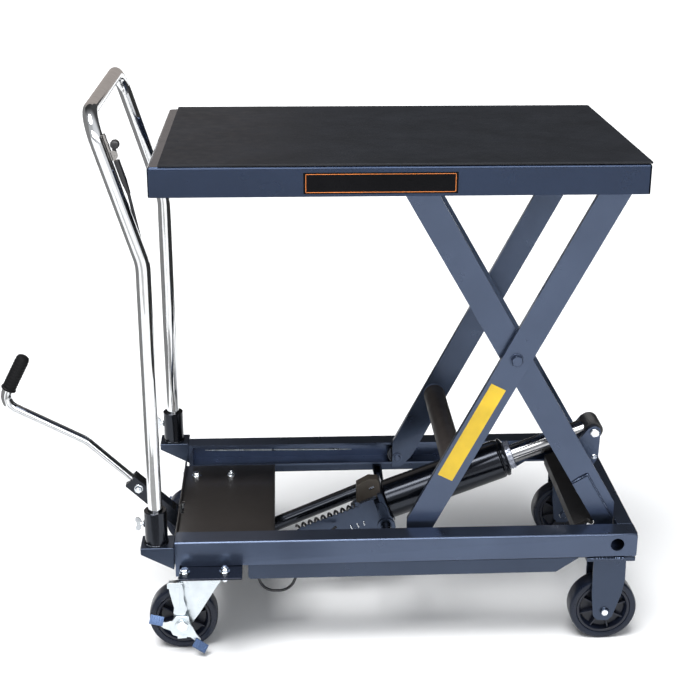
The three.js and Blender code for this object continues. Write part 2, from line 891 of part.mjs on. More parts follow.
// ---- Release control on the handle's near leg, and its cable
const legAngle = Math.atan2(HANDLE_TOP[1] - HANDLE_BEND_Z, HANDLE_TOP[0] - POST_X);
const legAt = (t, n) => onLine([POST_X, HANDLE_BEND_Z], legAngle, [[t, -n]])[0];
const legShape = (points) => points.map(([t, n]) => legAt(t, n));
add(
  "release_bracket",
  join(
    prismXZ(legShape([[178, 13], [222, 13], [222, 16], [178, 16]]), -POST_Y - 6, -POST_Y + 6),
    prismXZ(legShape([[178, 15], [192, 15], [190, 25], [181, 25]]), -POST_Y - 6, -POST_Y - 2.5),
    barY(...legAt(186, 20.5), -POST_Y - 6, -POST_Y + 5, 2, 12),
  ),
  ZINC,
);
add(
  "release_lever",
  cut(
    join(
      prismXZ(legShape([[183.4, 18], [202, 19], [202, 26], [182, 24]]), -POST_Y - 2.2, -POST_Y + 2.2),
      barY(...legAt(201, 25.5), -POST_Y - 7, -POST_Y + 7, 7.2, 16),
    ),
    barY(...legAt(186, 20.5), -POST_Y - 9, -POST_Y + 9, 2.1, 12),
  ),
  BLACK,
);
const sleeveTop = legAt(174, 19);
const sleeveEnd = legAt(122, 19);
const cablePath = roundedPath(
  [
    [sleeveTop[0], -POST_Y, sleeveTop[1]],
    [sleeveEnd[0], -POST_Y, sleeveEnd[1]],
    [-428, -200, 780],
    [-420, -200, 700],
    [-420, -200, 320],
    [-416, -192, 270],
    [-416, -192, 205],
    [-405, -150, 152],
    [-330, -66, 146],
    [-262, -84, 146],
    [-251, -140, 124],
    [-238, -140, 74],
    [-187, -140, 74],
    [-168, -140, 122],
    [-130, -104, 158],
    [-98, -76, 172],
  ],
  [20, 20, 20, 16, 16, 20, 20, 24, 14, 14, 30, 30, 14, 20],
  3,
);
add("release_cable", sweep(cablePath, 2.8, 8), BLACK);

export default root;
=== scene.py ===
"""A mobile scissor lift table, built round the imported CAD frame.

Places are in millimetres, with x from the platform's middle, y from the middle plane and z from the
floor; at() turns them into metres.
"""

import math
import random

import bpy
from mathutils import Matrix, Vector


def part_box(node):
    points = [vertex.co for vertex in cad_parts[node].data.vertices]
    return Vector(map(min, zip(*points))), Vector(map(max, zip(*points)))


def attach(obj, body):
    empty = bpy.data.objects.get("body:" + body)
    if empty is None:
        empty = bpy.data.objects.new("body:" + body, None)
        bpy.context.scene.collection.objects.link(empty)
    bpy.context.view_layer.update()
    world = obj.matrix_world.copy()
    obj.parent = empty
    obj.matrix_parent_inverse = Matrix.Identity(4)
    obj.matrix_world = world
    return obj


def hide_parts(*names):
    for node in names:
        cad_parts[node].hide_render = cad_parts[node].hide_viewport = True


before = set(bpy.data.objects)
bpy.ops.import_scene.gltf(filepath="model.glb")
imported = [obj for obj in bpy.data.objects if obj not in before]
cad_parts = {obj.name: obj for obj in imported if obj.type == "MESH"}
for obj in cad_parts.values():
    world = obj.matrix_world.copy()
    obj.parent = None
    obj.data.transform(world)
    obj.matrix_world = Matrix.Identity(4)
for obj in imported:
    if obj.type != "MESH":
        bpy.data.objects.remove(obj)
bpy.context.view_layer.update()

MM = 0.001
RND = random.Random(7)

tray_low, tray_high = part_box("table_tray")
SHIFT = (tray_low.x + tray_high.x) / 2
NEAR, FAR = -1, 1
SIDES = ((NEAR, "near"), (FAR, "far"))


def at(x, y, z):
    """A point in millimetres, as metres in the shared frame."""
    return Vector((x * MM + SHIFT, y * MM, z * MM))


# ---------------------------------------------------------------- materials
def remap(tree, value, start, end, low=0.0, high=1.0):
    """A node that maps the range from start to end of a value onto another."""
    made = tree.nodes.new("ShaderNodeMapRange")
    for socket, number in (("From Min", start), ("From Max", end), ("To Min", low), ("To Max", high)):
        made.inputs[socket].default_value = number
    tree.links.new(value, made.inputs["Value"])
    return made


class Graph:
    """A material's node tree with short calls for the nodes used here."""

    def __init__(self, name):
        self.mat = bpy.data.materials.new(name)
        self.mat.use_nodes = True
        self.tree = self.mat.node_tree
        self.bsdf = self.tree.nodes["Principled BSDF"]
        self.coord = self.node("ShaderNodeTexCoord").outputs["Object"]

    def node(self, kind, **settings):
        made = self.tree.nodes.new(kind)
        for key, value in settings.items():
            if key in made.inputs:
                made.inputs[key].default_value = value
            else:
                setattr(made, key, value)
        return made

    def link(self, a, b):
        self.tree.links.new(a, b)

    def noise(self, scale, detail=3.0, rough=0.55):
        texture = self.node("ShaderNodeTexNoise", Scale=scale, Detail=detail, Roughness=rough)
        self.link(self.coord, texture.inputs["Vector"])
        return texture.outputs["Fac"]

    def ramp(self, value, stops):
        made = self.node("ShaderNodeValToRGB")
        while len(made.color_ramp.elements) < len(stops):
            made.color_ramp.elements.new(0.5)
        for stop, (place, colour) in zip(made.color_ramp.elements, stops):
            stop.position = place
            stop.color = (*colour, 1)
        self.link(value, made.inputs["Fac"])
        return made.outputs["Color"]

    def spread(self, noise, low, high):
        """Maps a noise's usual range, 0.3 to 0.7, onto another."""
        return remap(self.tree, noise, 0.3, 0.7, low, high).outputs["Result"]

    def blend(self, share, colour, other):
        """Mixes a second, plain colour over a linked one by the given share."""
        mix = self.node("ShaderNodeMix", data_type="RGBA")
        self.link(share, mix.inputs["Factor"])
        self.link(colour, mix.inputs["A"])
        mix.inputs["B"].default_value = (*other, 1)
        return mix.outputs["Result"]

    def painted_edge_highlight(self, radius, low, high):
        """A share that is high only on edges, broken up by noise; used to paint a highlight along them."""
        soft = self.node("ShaderNodeBevel", Radius=radius)
        flat = self.node("ShaderNodeNewGeometry")
        dot = self.node("ShaderNodeVectorMath", operation="DOT_PRODUCT")
        self.link(soft.outputs["Normal"], dot.inputs[0])
        self.link(flat.outputs["Normal"], dot.inputs[1])
        edge = remap(self.tree, dot.outputs["Value"], 0.995, 0.90)
        patch = remap(self.tree, self.noise(140.0, 6.0, 0.65), low, high)
        edge_glint = self.node("ShaderNodeMath", operation="MULTIPLY")
        self.link(edge.outputs["Result"], edge_glint.inputs[0])
        self.link(patch.outputs["Result"], edge_glint.inputs[1])
        return edge_glint.outputs["Value"]

    def bump(self, height, strength, distance, under=None):
        made = self.node("ShaderNodeBump", Strength=strength, Distance=distance)
        self.link(height, made.inputs["Height"])
        if under is not None:
            self.link(under, made.inputs["Normal"])
        return made.outputs["Normal"]

    def set(self, **values):
        for key, value in values.items():
            self.bsdf.inputs[key.replace("_", " ")].default_value = value

    def drive(self, socket, value):
        self.link(value, self.bsdf.inputs[socket])


def tint(colour, share):
    """A darker or a lighter shade of a colour."""
    return tuple(min(1.0, channel * share) for channel in colour)


def paint(name, colour, rough=0.3, metallic=0.9, coat=0.2, peel=0.09):
    """Dark metallic enamel with orange peel, faint cloudiness, duller smudges and a painted highlight that
    lightens the edges.
    """
    g = Graph(name)
    cloud = g.noise(6.0, 4.0)
    fine = g.noise(380.0, 2.0)
    body = g.ramp(cloud, [(0.25, tint(colour, 0.88)), (0.75, tint(colour, 1.12))])
    # Painted highlight: edges are painted lighter, standing in for the light caught on the rounded edges.
    edge_glint = g.painted_edge_highlight(0.0012, 0.62, 0.72)
    g.drive("Base Color", g.blend(edge_glint, body, tint(colour, 2.4)))
    g.drive("Roughness", g.spread(g.noise(26.0, 5.0), rough * 0.88, rough * 1.2))
    g.drive("Normal", g.bump(fine, peel, 0.0004))
    g.set(Metallic=metallic, IOR=1.5, Coat_Weight=coat, Coat_Roughness=0.12)
    return g.mat


def metal(name, colour, low, high, grain, scale, edge=1.0):
    """Bare or plated metal with smudges and a fine grain; edge is how bright it is at a grazing angle."""
    g = Graph(name)
    smudge = g.noise(22.0, 6.0, 0.6)
    shades = [(0.3, tint(colour, 0.93)), (0.7, tint(colour, 1.05))]
    g.drive("Base Color", g.ramp(g.noise(60.0, 3.0), shades))
    g.drive("Roughness", g.spread(smudge, low, high))
    g.drive("Normal", g.bump(g.noise(scale, 3.0, 0.6), grain, 0.0004))
    g.set(Metallic=1.0, Specular_Tint=(edge, edge, edge, 1))
    return g.mat


def rubber(name, colour, rough, pebble, scale, depth, ior=1.5):
    """Rubber or moulded plastic: a pebble of small cells over faint cloudiness."""
    g = Graph(name)
    cells = g.node("ShaderNodeTexVoronoi", Scale=scale)
    g.link(g.coord, cells.inputs["Vector"])
    cloud = g.noise(11.0, 5.0)
    g.drive("Base Color", g.ramp(cloud, [(0.3, tint(colour, 0.82)), (0.7, tint(colour, 1.25))]))
    g.drive("Roughness", g.spread(g.noise(45.0, 4.0), rough * 0.88, min(1.0, rough * 1.12)))
    under = g.bump(g.noise(90.0), 0.1, 0.0004)
    g.drive("Normal", g.bump(cells.outputs["Distance"], pebble, depth, under))
    g.set(Metallic=0.0, IOR=ior)
    return g.mat


BLUE = paint("frame_paint", (0.066, 0.087, 0.138))
# Painted shade: the far arms take a darker copy of the frame paint.
SHADED_FAR_BLUE = paint("far_arm_painted_shade", (0.052, 0.070, 0.112))
# Painted shade: a darker copy of the frame paint for side plates, brackets, rigid forks, pump lugs and the
# spring guard.
PAINTED_SHADE_BLUE = paint("recess_painted_shade", (0.036, 0.049, 0.079))
# Painted shade: the platform takes a darker copy of the frame paint, for the weaker light on its skirt.
SHADED_TRAY_BLUE = paint("platform_painted_shade", (0.015, 0.027, 0.058), 0.24, 0.9, 0.35)
# Painted reflection: the deck's brown-grey stands in for the dark surroundings its up-facing face reflects.
DECK_REFLECTION_BROWN = paint("deck_painted_reflection", (0.075, 0.070, 0.068), 0.34)
# Painted reflection: the cross tube's dark brown stands in for the dark surroundings it reflects.
TUBE_REFLECTION_BROWN = paint("cross_tube_painted_reflection", (0.040, 0.033, 0.031), 0.50, 0.2, 0.0, 0.10)
# Painted shade: the mount plates under the rails are painted near black.
PAINTED_SHADOW_BLUE = paint("shadow_paint", (0.010, 0.013, 0.024), 0.24, 0.9, 0.3)
# Painted reflection: the inner cross plate and its foot welds are near black, for the dark surroundings its
# face reflects.
PLATE_DARK_REFLECTION = paint("cross_plate_painted_reflection", (0.014, 0.013, 0.013), 0.50, 0.1, 0.0)
BLACK = paint("black_paint", (0.014, 0.017, 0.024), 0.18, 0.9, 0.35, 0.04)
# Painted reflection: the valve block's brown stands in for the dark surroundings its tilted-up face reflects.
VALVE_REFLECTION_BROWN = paint("valve_painted_reflection", (0.060, 0.050, 0.040), 0.48, 0.3, 0.0, 0.20)
ZINC = metal("zinc_plate", (0.63, 0.68, 0.71), 0.22, 0.40, 0.08, 500.0)
BOLT = metal("bolt_plate", (0.80, 0.84, 0.88), 0.14, 0.30, 0.05, 700.0)
GLAND_ZINC = metal("gland_zinc", (0.40, 0.42, 0.48), 0.22, 0.40, 0.08, 500.0)
DULL_STEEL = metal("dull_steel", (0.26, 0.25, 0.24), 0.34, 0.50, 0.08, 500.0)
BLUED = metal("blued_zinc", (0.065, 0.100, 0.185), 0.22, 0.38, 0.06, 600.0)
CHROME = metal("chrome_tube", (0.74, 0.75, 0.76), 0.03, 0.09, 0.010, 90.0, edge=0.9)
HARD_CHROME = metal("rod_chrome", (0.40, 0.40, 0.41), 0.10, 0.18, 0.02, 300.0, edge=0.7)
MAT_RUBBER = rubber("mat_rubber", (0.0115, 0.0128, 0.0165), 0.60, 0.10, 900.0, 0.0002, 1.32)
TYRE = rubber("tyre_rubber", (0.0060, 0.0098, 0.0215), 0.30, 0.05, 500.0, 0.0002, 1.36)
HUB = rubber("hub_plastic", (0.0060, 0.0085, 0.0175), 0.30, 0.05, 400.0, 0.0002, 1.40)
GRIP = rubber("grip_rubber", (0.005, 0.005, 0.006), 0.55, 0.25, 1100.0, 0.0003, 1.25)
SHEATH = rubber("cable_sheath", (0.010, 0.011, 0.015), 0.38, 0.06, 700.0, 0.0002)
KNOB = rubber("knob_plastic", (0.010, 0.010, 0.012), 0.30, 0.06, 600.0, 0.0002)
YELLOW = rubber("yellow_strip", (0.64, 0.43, 0.016), 0.38, 0.04, 800.0, 0.0001)
LABEL = rubber("label_black", (0.004, 0.004, 0.005), 0.30, 0.03, 800.0, 0.0001, 1.14)
ORANGE = rubber("label_line", (0.80, 0.22, 0.03), 0.38, 0.03, 800.0, 0.0001)

# ---------------------------------------------------------------- mesh helpers
SHARP = math.radians(32)


def basis(axis):
    """Two directions across an axis, and the axis itself."""
    w = Vector(axis).normalized()
    helper = Vector((0, 0, 1)) if abs(w.z) < 0.9 else Vector((1, 0, 0))
    u = helper.cross(w).normalized()
    return u, w.cross(u), w


def smooth_group():
    """A modifier's node group that shades smooth across every edge flatter than an angle."""
    group = bpy.data.node_groups.new("soft_edges", "GeometryNodeTree")
    group.interface.new_socket("Geometry", in_out="INPUT", socket_type="NodeSocketGeometry")
    group.interface.new_socket("Geometry", in_out="OUTPUT", socket_type="NodeSocketGeometry")
    nodes, links = group.nodes, group.links
    start, end = nodes.new("NodeGroupInput"), nodes.new("NodeGroupOutput")
    faces, edges = nodes.new("GeometryNodeSetShadeSmooth"), nodes.new("GeometryNodeSetShadeSmooth")
    edges.domain = "EDGE"
    angle = nodes.new("GeometryNodeInputMeshEdgeAngle")
    less = nodes.new("FunctionNodeCompare")
    less.operation = "LESS_THAN"
    less.inputs["B"].default_value = SHARP
    links.new(start.outputs[0], faces.inputs["Geometry"])
    links.new(faces.outputs[0], edges.inputs["Geometry"])
    links.new(angle.outputs["Unsigned Angle"], less.inputs["A"])
    links.new(less.outputs[0], edges.inputs["Shade Smooth"])
    links.new(edges.outputs[0], end.inputs[0])
    return group


SOFT_EDGES = smooth_group()


def new_object(name, verts, faces):
    """A mesh object in the scene, from points in metres."""
    mesh = bpy.data.meshes.new(name)
    mesh.from_pydata([tuple(v) for v in verts], [], faces)
    mesh.update()
    obj = bpy.data.objects.new(name, mesh)
    bpy.context.scene.collection.objects.link(obj)
    return obj


def dress(obj, mat, bevel=0.0, segments=2, weld=False):
    """Gives a piece its material, broken edges and clean shading; bevel is in millimetres."""
    obj.data.materials.clear()
    obj.data.materials.append(mat)
    if weld:
        merged = obj.modifiers.new("weld", "WELD")
        merged.merge_threshold = 1e-5
    if bevel:
        edges = obj.modifiers.new("bevel", "BEVEL")
        edges.width = bevel * MM
        edges.segments = segments
        edges.limit_method = "ANGLE"
        edges.angle_limit = SHARP
        edges.use_clamp_overlap = True
    soft = obj.modifiers.new("soft_edges", "NODES")
    soft.node_group = SOFT_EDGES
    flat = obj.modifiers.new("flat_faces", "WEIGHTED_NORMAL")
    flat.keep_sharp = True


def fold_edges(obj, radius, chosen):
    """Rounds the edges that pass a test on both of their ends, as a press folds them."""
    mesh = obj.data
    weights = mesh.attributes.new("bevel_weight_edge", "FLOAT", "EDGE")
    shift = Vector((SHIFT, 0, 0))
    for edge in mesh.edges:
        ends = [(obj.matrix_world @ mesh.vertices[i].co - shift) / MM for i in edge.vertices]
        weights.data[edge.index].value = 1.0 if chosen(*ends) else 0.0
    fold = obj.modifiers.new("fold", "BEVEL")
    fold.width = radius * MM
    fold.segments = 5
    fold.limit_method = "WEIGHT"
    obj.modifiers.move(len(obj.modifiers) - 1, 1)


class Shape:
    """Collects closed solids, given in millimetres, into one mesh."""

    def __init__(self):
        self.verts = []
        self.faces = []

    def add(self, verts, faces):
        base = len(self.verts)
        self.verts += [at(*v) for v in verts]
        self.faces += [[base + i for i in f] for f in faces]
        return self

    def lathe(self, outline, centre, axis, sides, closed=True, turn=0.0):
        """A closed outline of (radius, height) points turned about an axis; a radius of 0 makes a pole."""
        u, v, w = basis(axis)
        c = Vector(centre)
        verts, rings = [], []
        for r, h in outline:
            if r < 1e-6:
                rings.append([len(verts)] * sides)
                verts.append(c + w * h)
                continue
            rings.append(list(range(len(verts), len(verts) + sides)))
            for k in range(sides):
                a = 2 * math.pi * k / sides + turn
                verts.append(c + u * r * math.cos(a) + v * r * math.sin(a) + w * h)
        pairs = list(zip(rings, rings[1:]))
        if closed:
            pairs.append((rings[-1], rings[0]))
        faces = []
        for a, b in pairs:
            for k in range(sides):
                j = (k + 1) % sides
                face = [a[k], a[j], b[j], b[k]]
                face = [i for n, i in enumerate(face) if i != face[n - 1]]
                if len(face) > 2:
                    faces.append(face)
        return self.add(verts, faces)

    def rod(self, a, b, radius, edge=0.6, sides=48):
        """A round bar between two points with broken edges."""
        a, b = Vector(a), Vector(b)
        h = (b - a).length
        outline = [(0, 0), (radius - edge, 0), (radius, edge)]
        outline += [(radius, h - edge), (radius - edge, h), (0, h)]
        return self.lathe(outline, a, b - a, sides, closed=False)

    def tube(self, path, radius, sides):
        """A round section swept along points; radius is a number or a function of the share of the way."""
        path = [Vector(p) for p in path]
        count = len(path)
        tangents = []
        for i in range(count):
            before, after = path[max(i - 1, 0)], path[min(i + 1, count - 1)]
            tangents.append((after - before).normalized())
        u = basis(tangents[0])[0]
        verts = []
        for i, p in enumerate(path):
            if i:
                turn = tangents[i - 1].rotation_difference(tangents[i])
                u = (turn @ u).normalized()
            v = tangents[i].cross(u)
            r = radius(i / (count - 1)) if callable(radius) else radius
            for k in range(sides):
                a = 2 * math.pi * k / sides
                verts.append(p + u * r * math.cos(a) + v * r * math.sin(a))
        faces = []
        for i in range(count - 1):
            here, there = i * sides, (i + 1) * sides
            for k in range(sides):
                j = (k + 1) % sides
                faces.append([here + k, here + j, there + j, there + k])
        faces.append(list(range(sides))[::-1])
        faces.append([(count - 1) * sides + k for k in range(sides)])
        return self.add(verts, faces)

    def plate(self, outline, y0, y1):
        """A flat outline in X and Z, made thick along Y."""
        n = len(outline)
        verts = [(x, y0, z) for x, z in outline] + [(x, y1, z) for x, z in outline]
        faces = [[i, (i + 1) % n, n + (i + 1) % n, n + i] for i in range(n)]
        faces.append(list(range(n))[::-1])
        faces.append([n + i for i in range(n)])
        edges = zip(outline, outline[1:] + outline[:1])
        if sum(x0 * z1 - x1 * z0 for (x0, z0), (x1, z1) in edges) > 0:
            faces = [f[::-1] for f in faces]
        return self.add(verts, faces)

    def slab(self, centre, along, across, up, size):
        """A box about a centre with its own directions."""
        c = Vector(centre)
        axes = [Vector(d).normalized() * s / 2 for d, s in zip((along, across, up), size)]
        if axes[0].cross(axes[1]).dot(axes[2]) < 0:
            axes[1] = -axes[1]
        signs = [(-1, -1), (1, -1), (1, 1), (-1, 1)]
        verts = [c + axes[0] * a + axes[1] * b - axes[2] for a, b in signs]
        verts += [c + axes[0] * a + axes[1] * b + axes[2] for a, b in signs]
        faces = [[3, 2, 1, 0], [4, 5, 6, 7], [0, 1, 5, 4], [1, 2, 6, 5], [2, 3, 7, 6], [3, 0, 4, 7]]
        return self.add(verts, faces)

    def mirrored(self):
        """The same solids on the other side of the middle plane."""
        other = Shape()
        other.verts = [Vector((v.x, -v.y, v.z)) for v in self.verts]
        other.faces = [f[::-1] for f in self.faces]
        return other

    def make(self, name, body, slot, mat, bevel=0.0, segments=2, replaces=()):
        """Turns the shape into a piece that rides on a body and may stand in for CAD nodes."""
        piece = new_object(name, self.verts, self.faces)
        dress(piece, mat, bevel, segments)
        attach(piece, body)
        if replaces:
            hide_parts(*replaces)


def both(shape, name, body, slot, mat, replaces=(), **more):
    """Makes a near-side shape and its mirror image; {} in a name is the side."""
    for side, made in (("near", shape), ("far", shape.mirrored())):
        made.make(
            name.format(side), body.format(side), slot, mat,
            replaces=[r.format(side) for r in replaces], **more,
        )


def rounded(points, radii, steps):
    """A path whose inner corners are rounded, each to its own radius."""
    p = [Vector(q) for q in points]
    out = [p[0]]
    for i in range(1, len(p) - 1):
        a, b = (p[i - 1] - p[i]).normalized(), (p[i + 1] - p[i]).normalized()
        half = math.acos(max(-1, min(1, a.dot(b)))) / 2
        r = radii[i - 1]
        mid = p[i] + (a + b).normalized() * (r / math.sin(half))
        start = p[i] + a * (r / math.tan(half)) - mid
        axis = start.cross(p[i] + b * (r / math.tan(half)) - mid).normalized()
        for k in range(steps + 1):
            turn = Matrix.Rotation((math.pi - 2 * half) * k / steps, 3, axis)
            out.append(mid + turn @ start)
    out.append(p[-1])
    return out


def soften(outline, radius, steps=5):
    """Rounds every corner of a closed 2-D outline, less where the edges are short."""
    straight = math.radians(172)
    n = len(outline)
    out = []
    for i in range(n):
        p = Vector(outline[i])
        a, b = Vector(outline[i - 1]) - p, Vector(outline[(i + 1) % n]) - p
        angle = a.angle(b)
        if angle > straight:
            out.append(tuple(p))
            continue
        back = min(radius / math.tan(angle / 2), a.length * 0.45, b.length * 0.45)
        s, e = p + a.normalized() * back, p + b.normalized() * back
        for k in range(steps + 1):
            t = k / steps
            out.append(tuple(s * (1 - t) ** 2 + p * 2 * t * (1 - t) + e * t * t))
    return out


def disc(x, z, radius, sides):
    """Points of a circle in X and Z."""
    turns = [math.radians(360.0 * k / sides) for k in range(sides)]
    return [(x + radius * math.cos(a), z + radius * math.sin(a)) for a in turns]


def both_faces(half):
    """A turned outline that is alike on both faces, from the (radius, height) points of one."""
    return [(r, -h) for r, h in half] + half[::-1]


def on_line(origin, angle, t, n=0.0):
    """A point given along and across a line in X and Z; the angle is in radians."""
    c, s = math.cos(angle), math.sin(angle)
    return (origin[0] + t * c - n * s, origin[1] + t * s + n * c)


def xyz(point, y):
    """A point in X and Z put at a place along Y."""
    return (point[0], y, point[1])


def bead(name, body, path, radius=1.9, mat=None, slot="frame_paint"):
    """A weld bead: a lumpy round section laid along a joint."""
    step = 0.9
    path = [Vector(p) for p in path]
    dense = []
    for a, b in zip(path, path[1:]):
        steps = max(2, int((b - a).length / step))
        dense += [a.lerp(b, k / steps) for k in range(steps)]
    dense.append(path[-1])
    phase = RND.random() * 6
    length = len(dense)
    wander = [RND.uniform(-0.16, 0.16) for _ in range(length + 1)]

    def size(t):
        i = t * length
        end = min(1.0, 6 * t + 0.35, 6 * (1 - t) + 0.35)
        return radius * end * (0.92 + 0.16 * math.sin(i * 1.7 + phase) + wander[int(i)] * 0.5)

    Shape().tube(dense, size, 10).make(name, body, slot, mat or BLUE)


def ring_path(x, y, z, radius, axis="z", start=0.0, sweep=360.0, steps=40):
    """Points round a circle that lies across an axis."""
    out = []
    for k in range(steps + 1):
        a = math.radians(start + sweep * k / steps)
        c, s = radius * math.cos(a), radius * math.sin(a)
        out.append((x + c, y + s, z) if axis == "z" else (x + c, y, z + s))
    return out


def add_bolt(shape, centre, axis, across, height, washer, stud=0.0):
    """A washer, a chamfered hexagon head and, where given, a stud end."""
    r = across / math.sqrt(3)
    c = Vector(centre)
    w = Vector(axis).normalized()
    turn = RND.random()
    washer_outline = [(0, 0), (washer, 0), (washer, 1.2), (washer - 0.4, 1.6), (0, 1.6)]
    shape.lathe(washer_outline, c, axis, 32, closed=False)
    head = [(0, 1.4), (r, 1.4), (r, height * 0.8), (r * 0.86, height), (r * 0.3, height), (0, height - 0.5)]
    shape.lathe(head, c, axis, 6, closed=False, turn=turn)
    if stud:
        shape.rod(c + w * (height - 1), c + w * (height + stud), across * 0.3, 0.5, 20)


# ---------------------------------------------------------------- CAD nodes that keep their shape
# {} in a name is each side in turn.
KEPT = {
    "rail_{}": (BLUE, 1.6), "rear_cross": (BLUE, 1.2), "deck": (DECK_REFLECTION_BROWN, 0.9),
    "mount_plate_{}": (PAINTED_SHADOW_BLUE, 1.0), "side_plate_{}": (PAINTED_SHADE_BLUE, 0.9),
    "handle_bracket_{}": (PAINTED_SHADE_BLUE, 1.4), "table_track_{}": (BLUE, 0.8),
    "table_tray": (SHADED_TRAY_BLUE, 2.4), "table_mat": (MAT_RUBBER, 0.8),
    "outer_arm_near": (BLUE, 0.9), "outer_arm_far": (SHADED_FAR_BLUE, 0.9),
    "inner_arm_near": (BLUE, 0.9), "inner_arm_far": (SHADED_FAR_BLUE, 0.9),
    "outer_cross_tube": (TUBE_REFLECTION_BROWN, 0.0), "inner_cross_plate": (PLATE_DARK_REFLECTION, 1.0), "ram_bracket": (BLUE, 1.0),
    "rigid_fork_{}": (PAINTED_SHADE_BLUE, 1.1), "caster_plate_{}": (ZINC, 0.9),
    "pump_pivot": (BLACK, 0.8), "pump_tube": (BLACK, 0.8), "pedal_socket": (BLACK, 1.2),
}
for name, (look, width) in KEPT.items():
    for node_name in sorted({name.format("near"), name.format("far")}):
        dress(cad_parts[node_name], look, width, 3, weld=True)


def touches(value, *limits):
    return any(abs(value - limit) < 0.2 for limit in limits)


def rail_fold(a, b):
    """An edge that runs along a rail's outer face."""
    outside = all(touches(abs(p.y), RAIL_FACE) and touches(p.z, *RAIL_HEIGHTS) for p in (a, b))
    return outside and touches(a.z, b.z) and abs(a.x - b.x) > 1


def tray_fold(a, b):
    """An edge round the platform's top, or one straight down a corner of its skirt."""
    same_x, same_y = touches(a.x, b.x), touches(a.y, b.y)
    on_end, on_side = touches(abs(a.x), TRAY_X), touches(abs(a.y), TRAY_Y)
    if touches(a.z, TRAY_TOP) and touches(b.z, TRAY_TOP):
        return (same_x and on_end) or (same_y and on_side)
    return same_x and same_y and on_end and on_side


rail_low, rail_high = (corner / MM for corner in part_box("rail_near"))
RAIL_FACE, RAIL_HEIGHTS = -rail_low.y, (178.0, rail_high.z)
TRAY_X, TRAY_Y, TRAY_TOP = (tray_high.x - tray_low.x) / 2 / MM, tray_high.y / MM, tray_high.z / MM
for label in ("near", "far"):
    fold_edges(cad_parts["rail_" + label], 4.5, rail_fold)
fold_edges(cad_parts["table_tray"], 5.0, tray_fold)
# Painted highlight: a bright zinc bead on the far rail's inner face stands in for the light on its lower
# flange's edge.
bead("rail_seam_far", "base", [(-360, 222.4, 199.8), (-53, 222.4, 196.8)], 2.1, ZINC, "zinc")

# ---------------------------------------------------------------- push handle
POST_X, POST_Y, HANDLE_R = -423.0, 222.0, 12.5
FOOT_Z, BEND_Z, TOP_X, TOP_Z = 232.5, 742.0, -499.0, 989.0
near_leg = [(POST_X, -POST_Y, FOOT_Z), (POST_X, -POST_Y, BEND_Z), (TOP_X, -POST_Y, TOP_Z)]
far_leg = [(x, -y, z) for x, y, z in reversed(near_leg)]
handle = Shape().tube(rounded(near_leg + far_leg, [90, 48, 48, 90], 18), HANDLE_R, 40)
handle.make("push_handle", "base", "chrome", CHROME, replaces=["handle_tube"])

socket = Shape().lathe(
    [(13.1, 232), (13.1, 289.2), (13.9, 290), (19.2, 290), (20, 289.2), (20, 226.3), (13.6, 226.3)],
    (POST_X, -POST_Y, 0), (0, 0, 1), 64,
)
THUMB_Z = 263
socket.rod((POST_X - 17, -POST_Y, THUMB_Z), (POST_X - 21.6, -POST_Y, THUMB_Z), 6.2, 0.6, 6)
both(socket, "post_socket_{}", "base", "black_paint", BLACK, ["handle_socket_{}"])

wing = [
    (-25, 259), (-24.6, 267), (-27, 273), (-31, 276), (-35.4, 274.5), (-36, 270),
    (-33.6, 266), (-33.2, 260), (-36, 256), (-35.4, 251.5), (-31, 250), (-27, 253),
]
thumb = Shape().rod((POST_X - 13.6, -POST_Y, THUMB_Z), (POST_X - 27, -POST_Y, THUMB_Z), 2.9, 0.4, 20)
thumb.plate(soften([(POST_X + x, z) for x, z in wing], 3.0), -POST_Y - 1.7, -POST_Y + 1.7)
THREADS, PITCH_OF_THREAD = 7, 1.3
for k in range(THREADS):
    thread_x = POST_X - 15.5 - PITCH_OF_THREAD * k
    thumb.lathe([(2.8, 0), (3.25, 0.5), (2.8, 1.0)], (thread_x, -POST_Y, THUMB_Z), (-1, 0, 0), 20)
both(thumb, "wing_screw_{}", "thumb_{}", "zinc", BOLT, ["thumb_screw_{}"], bevel=0.5)

for side, label in SIDES:
    y = side * POST_Y
    bead("socket_weld_" + label, "base", ring_path(POST_X, y, 226.8, 20.6), 2.0, BLACK, "black_paint")
    bead("bracket_weld_" + label, "base", [(-393.2, y - 21, 224), (-393.2, y - 21, 190)], 1.7)

# ---------------------------------------------------------------- foot pedal
PEDAL_PIVOT, SOCKET_END = (-332.0, 90.7), (-490, 245)
lever_x, lever_z = SOCKET_END[0] - PEDAL_PIVOT[0], SOCKET_END[1] - PEDAL_PIVOT[1]
lever_angle = math.atan2(lever_z, lever_x)
lever_length = math.hypot(lever_x, lever_z)
GRIP_FOOT, GRIP_TOP = (-707.5, 434.0), (-674.5, 497.0)
pedal_in = on_line(PEDAL_PIVOT, lever_angle, lever_length - 49)
pedal_bend = on_line(PEDAL_PIVOT, lever_angle, lever_length + 114)
pedal_corner = (-722.4, 407)
pedal_end = (GRIP_TOP[0] - 2, GRIP_TOP[1] - 4)
pedal_points = [xyz(p, 0) for p in (pedal_in, pedal_bend, pedal_corner, pedal_end)]
pedal_bar = Shape().tube(rounded(pedal_points, [60, 28], 14), 9.9, 36)
pedal_bar.make("pedal_bar", "pedal", "chrome", CHROME, replaces=["pedal_tube"])

